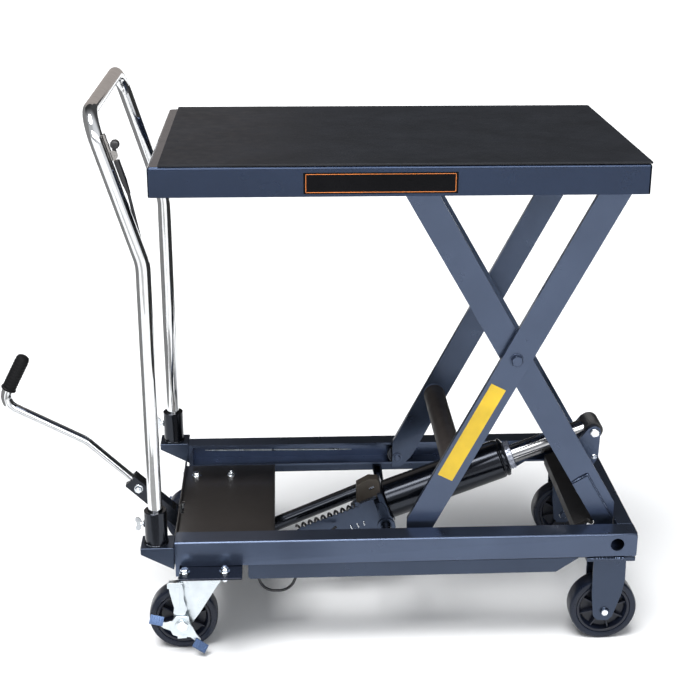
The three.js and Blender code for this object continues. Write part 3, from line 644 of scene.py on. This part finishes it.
grip_axis = Vector((GRIP_TOP[0] - GRIP_FOOT[0], 0, GRIP_TOP[1] - GRIP_FOOT[1]))
grip_length = grip_axis.length
grip_outline = [(10.2, 0.0), (14.2, 0.0), (14.4, 2.4), (12.4, 4.0)]
GRIP_RIBS = 9
for k in range(GRIP_RIBS):
    t = 6 + k * (grip_length - 14) / GRIP_RIBS
    grip_outline += [(12.7, t), (13.0, t + 1.4), (13.0, t + 3.4), (12.3, t + 4.6)]
grip_outline += [(12.6, grip_length - 5), (10.8, grip_length), (6.4, grip_length + 2.6), (0, grip_length + 3)]
grip_outline += [(0, grip_length - 1.5), (10.2, grip_length - 1.5)]
grip = Shape().lathe(grip_outline, (GRIP_FOOT[0], 0, GRIP_FOOT[1]), grip_axis, 56)
grip.make("foot_grip", "pedal", "grip", GRIP, replaces=["pedal_grip"])

pedal_bolt = on_line(PEDAL_PIVOT, lever_angle, lever_length - 22)
bolts = Shape()
add_bolt(bolts, xyz(pedal_bolt, -14.2), (0, -1, 0), 13, 7.5, 8.5, 2.0)
add_bolt(bolts, xyz(pedal_bolt, 14.2), (0, 1, 0), 13, 6.5, 8.5)
bolts.make("pedal_clamp_bolt", "pedal", "zinc", BOLT)
pins = Shape()
for side in (NEAR, FAR):
    add_bolt(pins, (PEDAL_PIVOT[0], side * 28.2, PEDAL_PIVOT[1]), (0, side, 0), 15, 6, 9)
pins.make("pedal_pivot_nuts", "ram", "zinc", BOLT)

# ---------------------------------------------------------------- release control and cable
LEG = math.atan2(TOP_Z - BEND_Z, TOP_X - POST_X)


def leg(t, n, y=0.0):
    """A point along the handle's slanted leg, n millimetres off its middle line towards the platform."""
    x, z = on_line((POST_X, BEND_Z), LEG, t, -n)
    return (x, -POST_Y + y, z)


def leg_outline(points):
    """An outline in X and Z, from points along and off the slanted leg."""
    return [leg(t, n)[::2] for t, n in points]


clip = Shape()
strap_outline = leg_outline([(178, 12.7), (222, 12.7), (222, 15.6), (178, 15.6)])
ear_outline = leg_outline([(177, 14), (194, 14), (193, 21), (190, 25), (182, 25), (178, 20)])
clip.plate(soften(strap_outline, 0.8), -POST_Y - 6, -POST_Y + 6)
clip.plate(soften(ear_outline, 3), -POST_Y - 6, -POST_Y - 4)
clip.rod(leg(186, 20.5, -6.6), leg(186, 20.5, 5), 1.95, 0.3, 20)
for t in (204, 217):
    rivet_axis = Vector(leg(t, 16)) - Vector(leg(t, 15))
    rivet = [(0, 0), (3.6, 0), (3.2, 1.2), (1.4, 1.9), (0, 2.0)]
    clip.lathe(rivet, leg(t, 15), rivet_axis, 20, closed=False)
clip.make("release_clip", "base", "zinc", DULL_STEEL, bevel=0.3, replaces=["release_bracket"])

lever_outline = leg_outline([(183.4, 18), (202, 19.2), (204, 25), (182, 24)])
lever = Shape().plate(soften(lever_outline, 2), -POST_Y - 2.2, -POST_Y + 2.2)
knob_centre = leg(201, 25.5, -7.2)
knob_outline = [(0, 0), (4.6, 0), (6.6, 0.9), (7.2, 2.6), (7.2, 11.8), (6.6, 13.5), (4.6, 14.4), (0, 14.4)]
lever.lathe(knob_outline, knob_centre, (0, 1, 0), 40, closed=False)
KNOB_RIBS = 14
for k in range(KNOB_RIBS):
    a = 2 * math.pi * k / KNOB_RIBS
    x, z = knob_centre[0] + 6.9 * math.cos(a), knob_centre[2] + 6.9 * math.sin(a)
    lever.rod((x, knob_centre[1] + 2.6, z), (x, knob_centre[1] + 11.8, z), 0.75, 0.25, 10)
lever.make("release_knob", "release", "black_paint", KNOB, bevel=0.4, replaces=["release_lever"])

CABLE = [
    leg(174, 19), leg(122, 19), (-428, -200, 780), (-420, -200, 700), (-420, -200, 320), (-416, -192, 270),
    (-416, -192, 205), (-405, -150, 152), (-330, -66, 146), (-262, -84, 146), (-251, -140, 124),
    (-238, -140, 74), (-187, -140, 74), (-168, -140, 122), (-130, -104, 158), (-98, -76, 172),
]
CABLE_CORNERS = [20, 20, 20, 16, 16, 20, 20, 24, 14, 14, 30, 30, 14, 20]
cable = Shape().tube(rounded(CABLE, CABLE_CORNERS, 10), 2.7, 16)
cable.make("bowden_cable", "base", "cable", SHEATH, replaces=["release_cable"])


def sleeve_radius(t):
    """Even along most of the sleeve, then tapered to the cable."""
    return 5.2 if t < 0.6 else 5.2 - 5.0 * (t - 0.6)


SLEEVE_STEPS = 24
sleeve_top, sleeve_end = Vector(leg(176, 19)), Vector(leg(118, 19))
sleeve_path = [sleeve_top.lerp(sleeve_end, k / SLEEVE_STEPS) for k in range(SLEEVE_STEPS + 1)]
sleeve = Shape().tube(sleeve_path, sleeve_radius, 24)
sleeve.make("cable_sleeve", "base", "cable", KNOB, bevel=0.5)

# ---------------------------------------------------------------- fixings on the deck end
DECK_BOLT_Y, PLATE_BOLT_Y = 141.5, 247
DECK_FACE, UNDER_FACE = 180.8, 167.8
PLATE_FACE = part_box("mount_plate_near")[1].z / MM + 0.1
fixings = Shape()
for x, stud in ((-374.0, 0.0), (-303.0, 3.5)):
    for side in (NEAR, FAR):
        add_bolt(fixings, (x, side * DECK_BOLT_Y, DECK_FACE), (0, 0, 1), 13, 7, 9.5, stud)
        add_bolt(fixings, (x, side * PLATE_BOLT_Y, PLATE_FACE), (0, 0, 1), 13, 7, 9.5, stud)
        for y in (DECK_BOLT_Y, PLATE_BOLT_Y):
            add_bolt(fixings, (x, side * y, UNDER_FACE), (0, 0, -1), 13, 7, 9.0, 3.0)
fixings.make("caster_bolts", "base", "zinc", BOLT)

# ---------------------------------------------------------------- wheels
WHEEL_R, CASTER_Y = 62.5, 194.0
FRONT_WHEEL_X, REAR_WHEEL_X, SWIVEL_X = -382.5, 393.0, -338


def tyre_shape(x):
    half = [
        (49.6, 15.5), (50.6, 17.2), (53.5, 18.4), (57.5, 18.9),
        (60.2, 18.0), (61.7, 15.6), (62.3, 11.0), (WHEEL_R, 5.0),
    ]
    return Shape().lathe(both_faces(half), (x, -CASTER_Y, WHEEL_R), (0, 1, 0), 128)


def hub_shape(x):
    """A moulded hub: rim, recessed web on both faces, tapered ribs and a bearing boss."""
    c = (x, -CASTER_Y, WHEEL_R)
    half = [
        (7.2, 20.6), (12.6, 20.6), (13.6, 19.6), (17.0, 7.5), (24.0, 5.5),
        (40.5, 6.0), (43.6, 14.6), (45.0, 16.6), (49.3, 16.8), (49.5, 15.5),
    ]
    shape = Shape().lathe(both_faces(half), c, (0, 1, 0), 96)
    ribs = 8
    for k in range(ribs):
        a = 2 * math.pi * (k + 0.35) / ribs
        d = Vector((math.cos(a), 0, math.sin(a)))
        s = Vector((-math.sin(a), 0, math.cos(a)))
        verts = []
        for r, half_width, wide in ((14.5, 16.5, 3.0), (44.0, 13.2, 2.2)):
            for y in (-half_width, half_width):
                for sign in (-1, 1):
                    verts.append(Vector(c) + d * r + s * sign * (wide * 0.6) + Vector((0, y, 0)))
        faces = [[0, 1, 3, 2], [4, 6, 7, 5], [0, 4, 5, 1], [2, 3, 7, 6], [0, 2, 6, 4], [1, 5, 7, 3]]
        shape.add(verts, faces)
    return shape


for place, x in (("front", FRONT_WHEEL_X), ("rear", REAR_WHEEL_X)):
    wheel = place + "_wheel_{}"
    both(tyre_shape(x), place + "_tread_{}", wheel, "tyre", TYRE, [place + "_tyre_{}"])
    both(hub_shape(x), place + "_core_{}", wheel, "wheel_hub", HUB, [place + "_hub_{}"], bevel=0.5)

axles = Shape()
axle_cap = [(0, 0), (8.3, 0), (8.3, 2.6), (7.0, 4.2), (3.5, 5.0), (0, 5.1)]
axle_nut = [(0, 0), (11, 0), (11, 3.4), (10.4, 4), (0, 4)]
axles.lathe(axle_cap, (REAR_WHEEL_X, -222, WHEEL_R), (0, -1, 0), 32, closed=False)
axles.lathe(axle_nut, (REAR_WHEEL_X, -170, WHEEL_R), (0, 1, 0), 6, closed=False)
both(axles, "fixed_axle_end_{}", "base", "zinc", BOLT, bevel=0.3)
for side, label in SIDES:
    y = side * 224.0
    bead("fork_weld_" + label, "base", [(359, side * 226.6, 176.2), (423, side * 226.6, 175.9)], 3.0)
    bead("fork_seam_" + label, "base", [(424, y, 176.6), (440, y, 176.9)], 1.6)
    bead("rail_end_weld_" + label, "base", [(441.6, side * 190, 180), (441.6, side * 190, 224)], 1.6)

# ---------------------------------------------------------------- swivel casters
head = Shape()
head.lathe(
    [
        (9.5, 149.5), (28, 148.5), (33, 150.5), (33.8, 153.5), (33.2, 157.6), (31.2, 158.2),
        (31.2, 159.4), (34.2, 160.2), (34.2, 162.4), (31.0, 166.2), (14, 167.2), (9.5, 166),
    ],
    (SWIVEL_X, -CASTER_Y, 0), (0, 0, 1), 72,
)
fork = Shape()
leg_points = [
    (-388, 150.4), (-394, 118), (-399.5, 70), (-396, 54), (-385, 46.5),
    (-371, 51), (-352, 78), (-322, 128), (-307, 150.4),
]
for y0, y1 in ((-221, -217.6), (-170.4, -167)):
    fork.plate(soften(leg_points, 7), y0, y1)
fork.slab((-347, -CASTER_Y, 148.9), (1, 0, 0), (0, 1, 0), (0, 0, 1), (80, 52, 3.4))
axle_washer = [(0, 0), (9.2, 0), (9.2, 1.4), (0, 1.4)]
fork.lathe(axle_washer, (FRONT_WHEEL_X, -221, WHEEL_R), (0, -1, 0), 32, closed=False)
strap = [
    (-406, 144), (-404, 128), (-400.5, 110), (-397, 96), (-399, 84), (-391, 78),
    (-378, 80), (-374, 92), (-379, 112), (-378.5, 130), (-381, 144),
]
fork.plate(soften(strap, 4), -231, -228.6)
fork.plate(soften([(-393.5, 138), (-391, 96), (-387, 96), (-385.5, 138)], 2), -232.4, -230.8)
fork.slab((-392, -226, 145.6), (1, 0, 0), (0, 1, 0), (0, 0, 1), (26, 10, 3.0))
fork.slab((-395.5, -229.8, 141.5), (1, 0, 0.06), (0, 1, 0), (0, 0, 1), (25, 3.2, 11))
fork.rod((FRONT_WHEEL_X, -239, WHEEL_R), (FRONT_WHEEL_X, -221, WHEEL_R), 6.9, 0.5, 32)
both(fork, "swivel_fork_plate_{}", "swivel_{}", "zinc", ZINC, ["swivel_fork_{}"], bevel=0.8, segments=3)
both(head, "swivel_race_{}", "swivel_{}", "zinc", ZINC)
nut = Shape()
nut_outline = [(0, 0), (11.3, 0), (11.3, 4.6), (9.8, 6), (0, 6)]
nut.lathe(nut_outline, (FRONT_WHEEL_X, -236.4, WHEEL_R), (0, -1, 0), 6, closed=False, turn=0.35)
both(nut, "swivel_axle_nut_{}", "swivel_{}", "zinc", BOLT, bevel=0.4)

brake = Shape()
star = [
    (-395, 80), (-401, 71), (-413, 68), (-424, 73), (-428, 66), (-417, 56), (-405, 51), (-401, 42),
    (-389, 36.5), (-376, 37), (-369, 36), (-357, 24), (-350, 30),
    (-359, 44), (-364, 56), (-370, 67), (-371, 80),
]
brake.plate(soften(star, 4), -235.2, -232)
brake.plate(soften(disc(FRONT_WHEEL_X, 58, 15, 24), 1), -237.2, -235)
brake.slab((-384, -235.2, 38.5), (1, 0, 0.05), (0, 1, 0), (0, 0, 1), (17, 4, 6))
both(brake, "brake_plate_{}", "brake_{}", "zinc", ZINC, ["brake_pedal_{}"], bevel=0.7, segments=3)
tabs = Shape()
for middle, d, span in (
    (Vector((-428.5, -241, 77)), Vector((-23, 0, 6)).normalized(), 25),
    (Vector((-351.5, -241, 21.5)), Vector((22, 0, -16)).normalized(), 27),
):
    across = Vector((0, 0.55, 0.83))
    across = (across - d * across.dot(d)).normalized()
    face = across.cross(d) if across.cross(d).y < 0 else d.cross(across)
    tabs.slab(middle, d, across, face, (span, 17, 2.6))
    for place in (-2, -1, 0, 1, 2):
        tabs.slab(middle + d * place * 4.6 + face * 1.5, d, across, face, (1.5, 14, 1.0))
both(tabs, "brake_tabs_{}", "brake_{}", "zinc", BLUED, bevel=0.5)

# ---------------------------------------------------------------- scissor pivots and rollers
CENTRE, PIVOT_X, ROLLER_X, BASE_Z, TABLE_Z = (215.0, 545.0), 392.0, 38.0, 202.0, 888.0
centre = Shape()
shank = [(0, -152.8), (8, -152.8), (8, -175.3), (0, -175.3)]
centre.lathe(shank, (CENTRE[0], 0, CENTRE[1]), (0, 1, 0), 32, closed=False)
add_bolt(centre, xyz(CENTRE, -175.2), (0, -1, 0), 19, 8.6, 12.5)
add_bolt(centre, xyz(CENTRE, -152.8), (0, 1, 0), 18, 8.6, 12.5)
both(centre, "scissor_bolt_{}", "inner_frame", "zinc", BLUE, ["centre_bolt_{}"], bevel=0.3)


def roller_shape(y, z, radius, width):
    """A turned roller with a groove in each face."""
    h = width / 2
    half = [
        (6.2, h), (radius * 0.48, h), (radius * 0.52, h - 1.6), (radius * 0.76, h - 1.6),
        (radius * 0.8, h), (radius - 1.4, h), (radius, h - 1.4),
    ]
    return Shape().lathe(both_faces(half), (ROLLER_X, y, z), (0, 1, 0), 64)


low_roller = roller_shape(-193.5, BASE_Z, 19.6, 26)
both(low_roller, "track_roller_{}", "low_roll_{}", "black_paint", BLACK, ["lower_roller_{}"])
top_roller = roller_shape(-177, TABLE_Z, 18.7, 22)
both(top_roller, "top_track_roller_{}", "top_roll_{}", "black_paint", BLACK, ["upper_roller_{}"])
ends = Shape()
pin_washer = [(0, 0), (10.5, 0), (10.5, 1.8), (0, 1.8)]
pin_head = [(0, 0), (7, 0), (7, 2.0), (5.4, 3.2), (0, 3.4)]
ends.lathe(pin_washer, (ROLLER_X, -164.9, BASE_Z), (0, 1, 0), 32, closed=False)
ends.lathe(pin_head, (ROLLER_X, -163.2, BASE_Z), (0, 1, 0), 32, closed=False)
both(ends, "roller_pin_end_{}", "outer_frame", "frame_paint", BLUE)
PIN_END = [(0, 0), (10, 0), (10, 1.6), (6.5, 1.8), (6.2, 3.2), (0, 3.4)]
for name, body, y, z in (
    ("table_pin_end_{}", "outer_frame", -164.9, TABLE_Z),
    ("base_pin_end_{}", "inner_frame", -152.9, BASE_Z),
):
    ends = Shape().lathe(PIN_END, (PIVOT_X, y, z), (0, 1, 0), 32, closed=False)
    both(ends, name, body, "frame_paint", BLUE)

OUTER = math.atan2(CENTRE[1] - BASE_Z, PIVOT_X - CENTRE[0])
INNER = math.radians(120.2)
tube_x, tube_z = on_line(CENTRE, OUTER, -227)
DOUBLER_EDGE = ((-362, -7.6), (-269.4, -7.6), (-269.4, 24))
for side, label in SIDES:
    tube_ring = ring_path(tube_x, side * 164.2, tube_z, 21.6, "y")
    bead("cross_tube_weld_" + label, "outer_frame", tube_ring, 1.6)
    seam = [xyz(on_line(CENTRE, INNER, t, n), side * 165.4) for t, n in DOUBLER_EDGE]
    bead("doubler_weld_" + label, "inner_frame", seam, 2.1)
    ear_ring = ring_path(357, side * 152.2, 284, 16.4, "y", 20, 320)
    bead("ear_tube_weld_" + label, "inner_frame", ear_ring, 1.7)

# ---------------------------------------------------------------- plain strip and plain label
strip_centre = on_line(CENTRE, OUTER, -157, 3.5)
strip_normal = Vector((0, -1, 0))
strip_along = Vector((math.cos(OUTER), 0, math.sin(OUTER)))
strip_across = strip_along.cross(strip_normal)
strip = Shape()
strip.slab(xyz(strip_centre, -175.25), strip_along, strip_across, strip_normal, (197, 29.5, 0.3))
strip.make("yellow_strip", "outer_frame", "yellow_strip", YELLOW, bevel=0.08)

FRONT = tray_low.y / MM
LABEL_X, LABEL_Z = -33, 882
label_axes = ((1, 0, 0), (0, 0, 1), (0, 1, 0))
blank = Shape().slab((LABEL_X, FRONT - 0.15, LABEL_Z), *label_axes, (250, 35, 0.3))
blank.make("blank_label", "table", "blank_label", LABEL, bevel=0.1)
line = Shape()
for z in (LABEL_Z - 14.8, LABEL_Z + 14.8):
    line.slab((LABEL_X, FRONT - 0.34, z), *label_axes, (243, 0.9, 0.1))
for x in (LABEL_X - 121, LABEL_X + 121):
    line.slab((x, FRONT - 0.34, LABEL_Z), *label_axes, (0.9, 30.5, 0.1))
line.make("label_line", "table", "blank_label", ORANGE)

# ---------------------------------------------------------------- hydraulic ram
EYE, RAM = (397.0, 341.0), math.radians(21)
PUMP = (0.0, 157.0)


def ram(t, n=0.0, y=0.0):
    """A point along the ram's axis from its eye, n millimetres above the axis."""
    x, z = on_line(EYE, RAM, t, n)
    return (x, y, z)


ram_axis = Vector((math.cos(RAM), 0, math.sin(RAM)))
BARREL_T, GLAND_T, ROD_T = -412, -176.5, -235
barrel = Shape()
barrel_outline = [
    (18.4, 240), (18.4, 48), (0, 48), (0, -8), (36, -8), (38, -6), (38, 224), (37, 226.4),
    (35.4, 227), (35.4, 229), (37, 230), (37.4, 232), (36.4, 236), (30, 238.6), (27.4, 240),
]
barrel.lathe(barrel_outline, ram(BARREL_T), ram_axis, 80)
boss = [(-24, 150), (-12, 142.4), (10, 142.4), (19, 160), (14, 190), (-34, 190)]
barrel.plate(soften(boss, 4), -29, 29)
barrel.make("ram_cylinder", "ram", "black_paint", BLACK, bevel=0.8, replaces=["ram_barrel"])

lugs = Shape()
flange = [on_line(EYE, RAM, t, n) for t, n in ((-431, -30), (-421, -30), (-421, 37), (-431, 37))]
lugs.plate(soften(flange, 2), -44, 44)
lug = [(-66, 158), (-50, 142.4), (12, 142.4), (19, 152), (17, 164), (-8, 206), (-24, 204)]
lug_ring = [(10.4, 0), (16.5, 0), (16.5, 2.9), (15.7, 3.7), (10.4, 3.7)]
for y0, y1, ring_y in ((-46, -30, -49.5), (30, 46, 45.8)):
    lugs.plate(soften(lug, 4), y0, y1)
    lugs.lathe(lug_ring, (PUMP[0], ring_y, PUMP[1]), (0, 1, 0), 40)
lugs.make("pump_lugs", "ram", "frame_paint", PAINTED_SHADE_BLUE, bevel=0.8)

gland = Shape()
gland_outline = [(18.6, 0), (25.6, 0), (26.8, 1.2), (26.8, 14.5), (25.6, 15.7), (18.6, 15.7)]
gland.lathe(gland_outline, ram(GLAND_T), ram_axis, 72)
KNURLS = 24
for k in range(KNURLS):
    a = 2 * math.pi * k / KNURLS
    for t, twist in ((3.0, 0.0), (8.2, 0.13), (13.0, 0.0)):
        c, s = math.cos(a + twist), math.sin(a + twist)
        outward = Vector((-math.sin(RAM) * c, s, math.cos(RAM) * c))
        gland.slab(ram(GLAND_T + t, 26.6 * c, 26.6 * s), ram_axis, (0, c, 0), outward, (3.0, 3.4, 1.4))
gland.make("gland_ring", "ram", "zinc", GLAND_ZINC, bevel=0.3)

valve = Shape()
valve_outline = [(-57, 203), (-57, 238), (-34, 251), (-17, 250), (-13, 244), (-10.4, 216), (-49, 200)]
valve.plate(soften(valve_outline, 1.5), -36, -12)
valve.make("valve_block", "ram", "black_paint", VALVE_REFLECTION_BROWN, bevel=1.0, segments=3)
TUBE_ANGLE = math.atan2(209 - PEDAL_PIVOT[1], -54 - PEDAL_PIVOT[0])
neck_foot, neck_top = (xyz(on_line(PEDAL_PIVOT, TUBE_ANGLE, t), 0) for t in (284, 312))
neck = Shape().rod(neck_foot, neck_top, 14.2)
neck.make("pump_tube_neck", "ram", "black_paint", BLACK)

guard = Shape()
serrated = [(-172, 130), (-172, 160)]
TEETH, TOOTH, FIRST_TOOTH = 11, 10.2, -166
for k in range(TEETH):
    x = FIRST_TOOTH + k * TOOTH
    z = 163.5 + (x - FIRST_TOOTH) * 0.39
    serrated += [(x, z), (x + 1.6, z + 3.0), (x + 5.8, z + 4.4), (x + 8.4, z + 2.9)]
serrated += [(-53.6, 207.3), (-51.7, 214), (-27, 225), (-23, 212)]
serrated += [(-12, 184), (-46, 172), (-60, 166), (-66, 130)]
guard.plate(serrated, -64, -61)
fold_along = Vector((33, 0, 14.2)).normalized()
fold_up = fold_along.cross(Vector((0, 1, 0)))
guard.slab((-36.5, -60.5, 219.4), fold_along, (0, 1, 0), fold_up, (33, 9, 3.0))
guard.make("spring_guard", "ram", "frame_paint", PAINTED_SHADE_BLUE, bevel=0.5)
screws = Shape()
slot_along = Vector((11, 0, 6.5)).normalized()
slot_across = slot_along.cross(Vector((0, 1, 0)))
screws.slab((-28.5, -36.6, 233.5), slot_along, slot_across, (0, 1, 0), (11, 3.4, 1.6))
for x, z, lean in ((-66, 161, 0.5), (-54, 165, 0.35), (-43, 169, 0.2)):
    hook = [(x - lean * h, -66.2 - 1.4 * math.sin(h / 2.6), z + h) for h in range(9)]
    screws.tube(hook, 1.3, 10)
screws.make("pump_screws", "ram", "zinc", BOLT, bevel=0.2)

TURNS, STEPS, COIL_R = 9, 24, 10.8
SPRING_X, SPRING_Z = 112, 44
slope = math.atan2(SPRING_Z, SPRING_X)
spring = []
for k in range(TURNS * STEPS + 1):
    t = k / (TURNS * STEPS)
    a = t * TURNS * 2 * math.pi
    n, side = COIL_R * math.cos(a), COIL_R * math.sin(a)
    x = -170 + SPRING_X * t - n * math.sin(slope)
    z = 148 + SPRING_Z * t + n * math.cos(slope)
    spring.append((x, -44 + side, z))
coil = Shape().tube(spring, 2.3, 12)
coil.make("coil_spring", "ram", "zinc", KNOB, replaces=["return_spring"])

rod = Shape()
rod_outline = [(0, 0), (16.6, 0), (18, 1.4), (18, 221), (0, 221)]
rod.lathe(rod_outline, ram(ROD_T), ram_axis, 80, closed=False)
rod.make("chrome_rod", "rod", "chrome", HARD_CHROME, replaces=["piston_rod"])
eye = Shape()
RIBS, HALF_EYE = 9, 26
ribs = [(6, -HALF_EYE)]
for k in range(RIBS):
    y = -HALF_EYE + k * 2 * HALF_EYE / RIBS
    ribs += [(16.4, y), (18, y + 0.9), (18, y + 4.0), (16.4, y + 4.9)]
ribs += [(16.4, HALF_EYE), (6, HALF_EYE)]
eye.lathe(ribs, xyz(EYE, 0), (0, 1, 0), 56)
eye.make("rod_eye_sleeve", "rod", "black_paint", KNOB)

# ---------------------------------------------------------------- ram bracket pins and plate welds
trim = Shape()
pin_cap = [(0, 0), (8.7, 0), (8.7, 2.0), (7.4, 3.2), (0, 3.4)]
for side in (NEAR, FAR):
    trim.lathe(pin_cap, xyz(EYE, side * 36.4), (0, side, 0), 40, closed=False)
add_bolt(trim, (399, -35.2, 291), (0, -1, 0), 8, 4.6, 5.2)
trim.make("clevis_pin_ends", "inner_frame", "zinc", BOLT)
pin = Shape().rod(xyz(EYE, -37), xyz(EYE, 37), 5.6, 0.4, 32)
pin.make("clevis_pin", "inner_frame", "zinc", BOLT)
for side, label in SIDES:
    foot = [(365, side * 150, 219), (376.5, side * 150, 208.5)]
    bead("plate_foot_weld_" + label, "inner_frame", foot, 4.6, PLATE_DARK_REFLECTION)

# ---------------------------------------------------------------- light, floor, camera
scene = bpy.context.scene
scene.view_settings.view_transform = "Standard"
BACK_LIGHT, FRONT_LIGHT = 0.07, 0.80
LEFT_SHARE, RIGHT_SHARE = 0.68, 1.12


def studio_world():
    """Soft light from the front and a dark studio behind, by the direction looked in."""
    made = bpy.data.worlds.new("studio")
    made.use_nodes = True
    tree = made.node_tree
    direction = tree.nodes.new("ShaderNodeTexCoord").outputs["Generated"]
    parts = tree.nodes.new("ShaderNodeSeparateXYZ")
    tree.links.new(direction, parts.inputs[0])
    depth = remap(tree, parts.outputs["Y"], 0.55, -0.30, BACK_LIGHT, FRONT_LIGHT)
    across = remap(tree, parts.outputs["X"], -0.20, 0.25, LEFT_SHARE, RIGHT_SHARE)
    product = tree.nodes.new("ShaderNodeMath")
    product.operation = "MULTIPLY"
    for ramp, factor in zip((depth, across), product.inputs):
        ramp.interpolation_type = "SMOOTHSTEP"
        tree.links.new(ramp.outputs["Result"], factor)
    tree.links.new(product.outputs["Value"], tree.nodes["Background"].inputs["Strength"])
    tree.nodes["Background"].inputs["Color"].default_value = (0.95, 0.97, 1.0, 1)
    return made


scene.world = studio_world()

FLOOR_HALF = 30
floor_corners = [(x * FLOOR_HALF, y * FLOOR_HALF, 0) for x, y in ((-1, -1), (1, -1), (1, 1), (-1, 1))]
floor = new_object("floor", floor_corners, [(0, 1, 2, 3)])
floor_look = Graph("pale_floor")
floor_look.set(Base_Color=(0.95, 0.955, 0.96, 1), Roughness=0.75)
floor.data.materials.append(floor_look.mat)


def card(name, corners, strength, colour=(1, 1, 1)):
    """A flat studio card that only shows in glossy surfaces; it lights nothing and casts no shadow."""
    panel = new_object(name, [at(*c) for c in corners], [(0, 1, 2, 3)])
    look = Graph(name)
    look.set(Base_Color=(0, 0, 0, 1), Roughness=1.0, Specular_IOR_Level=0.0, Emission_Color=(*colour, 1))
    look.set(Emission_Strength=strength)
    panel.data.materials.append(look.mat)
    panel.visible_camera = False
    panel.visible_shadow = False
    panel.visible_diffuse = False


def upright(x0, x1, y, z0, z1):
    """Corners of a card that stands across the view."""
    return [(x0, y, z0), (x1, y, z0), (x1, y, z1), (x0, y, z1)]


def beside(x, y0, y1, height):
    """Corners of a card that stands on the floor at one end of the table."""
    return [(x, y0, 0), (x, y1, 0), (x, y1, height), (x, y0, height)]


def lying(x0, x1, y0, y1):
    """Corners of a card that lies 2 mm above the floor."""
    return [(x0, y0, 2), (x1, y0, 2), (x1, y1, 2), (x0, y1, 2)]


card("left_card", beside(-1150, -600, 1250, 1500), 0.28)
card("right_card", beside(950, -900, 1250, 1500), 0.04)
card("low_card", upright(-1150, 950, 1250, 0, 420), 0.05)
card("high_card", upright(-1600, -200, 1240, 850, 2000), 0.46, (1.0, 0.90, 0.84))
card("front_strip", upright(-1500, 1500, -2000, 1300, 2100), 7.0)
card("near_floor_card", lying(-1000, -100, -1100, -620), 0.50)
card("far_floor_card", lying(-1400, -150, -3300, -2150), 0.72)


def sun(name, direction, strength, angle):
    """A wide soft light that comes from a direction; the angle is in degrees."""
    data = bpy.data.lights.new(name, "SUN")
    data.energy = strength
    data.angle = math.radians(angle)
    lamp = bpy.data.objects.new(name, data)
    lamp.rotation_euler = Vector(direction).to_track_quat("Z", "Y").to_euler()
    scene.collection.objects.link(lamp)


sun("overhead_softbox", (-0.22, -0.30, 1), 3.7, 36)

CAMERA_PLACE = (-192.12, -2405.42, 1403.62)
YAW, PITCH, ROLL = math.radians(2.93), math.radians(20.51), math.radians(-0.27)
FOCAL_PIXELS, IMAGE_PIXELS, SENSOR = 1373.37, 700, 36.0
forward = Vector((math.sin(YAW) * math.cos(PITCH), math.cos(YAW) * math.cos(PITCH), -math.sin(PITCH)))
level = Vector((math.cos(YAW), -math.sin(YAW), 0))
down = forward.cross(level)
right_dir = level * math.cos(ROLL) + down * math.sin(ROLL)
up_dir = level * math.sin(ROLL) - down * math.cos(ROLL)
camera_data = bpy.data.cameras.new("camera")
camera_data.sensor_width = SENSOR
camera_data.lens = FOCAL_PIXELS * SENSOR / IMAGE_PIXELS
camera = bpy.data.objects.new("camera", camera_data)
turn = Matrix((right_dir, up_dir, -forward)).transposed().to_4x4()
camera.matrix_world = Matrix.Translation(at(*CAMERA_PLACE)) @ turn
scene.collection.objects.link(camera)
scene.camera = camera

# ---------------------------------------------------------------- final update
bpy.context.view_layer.update()
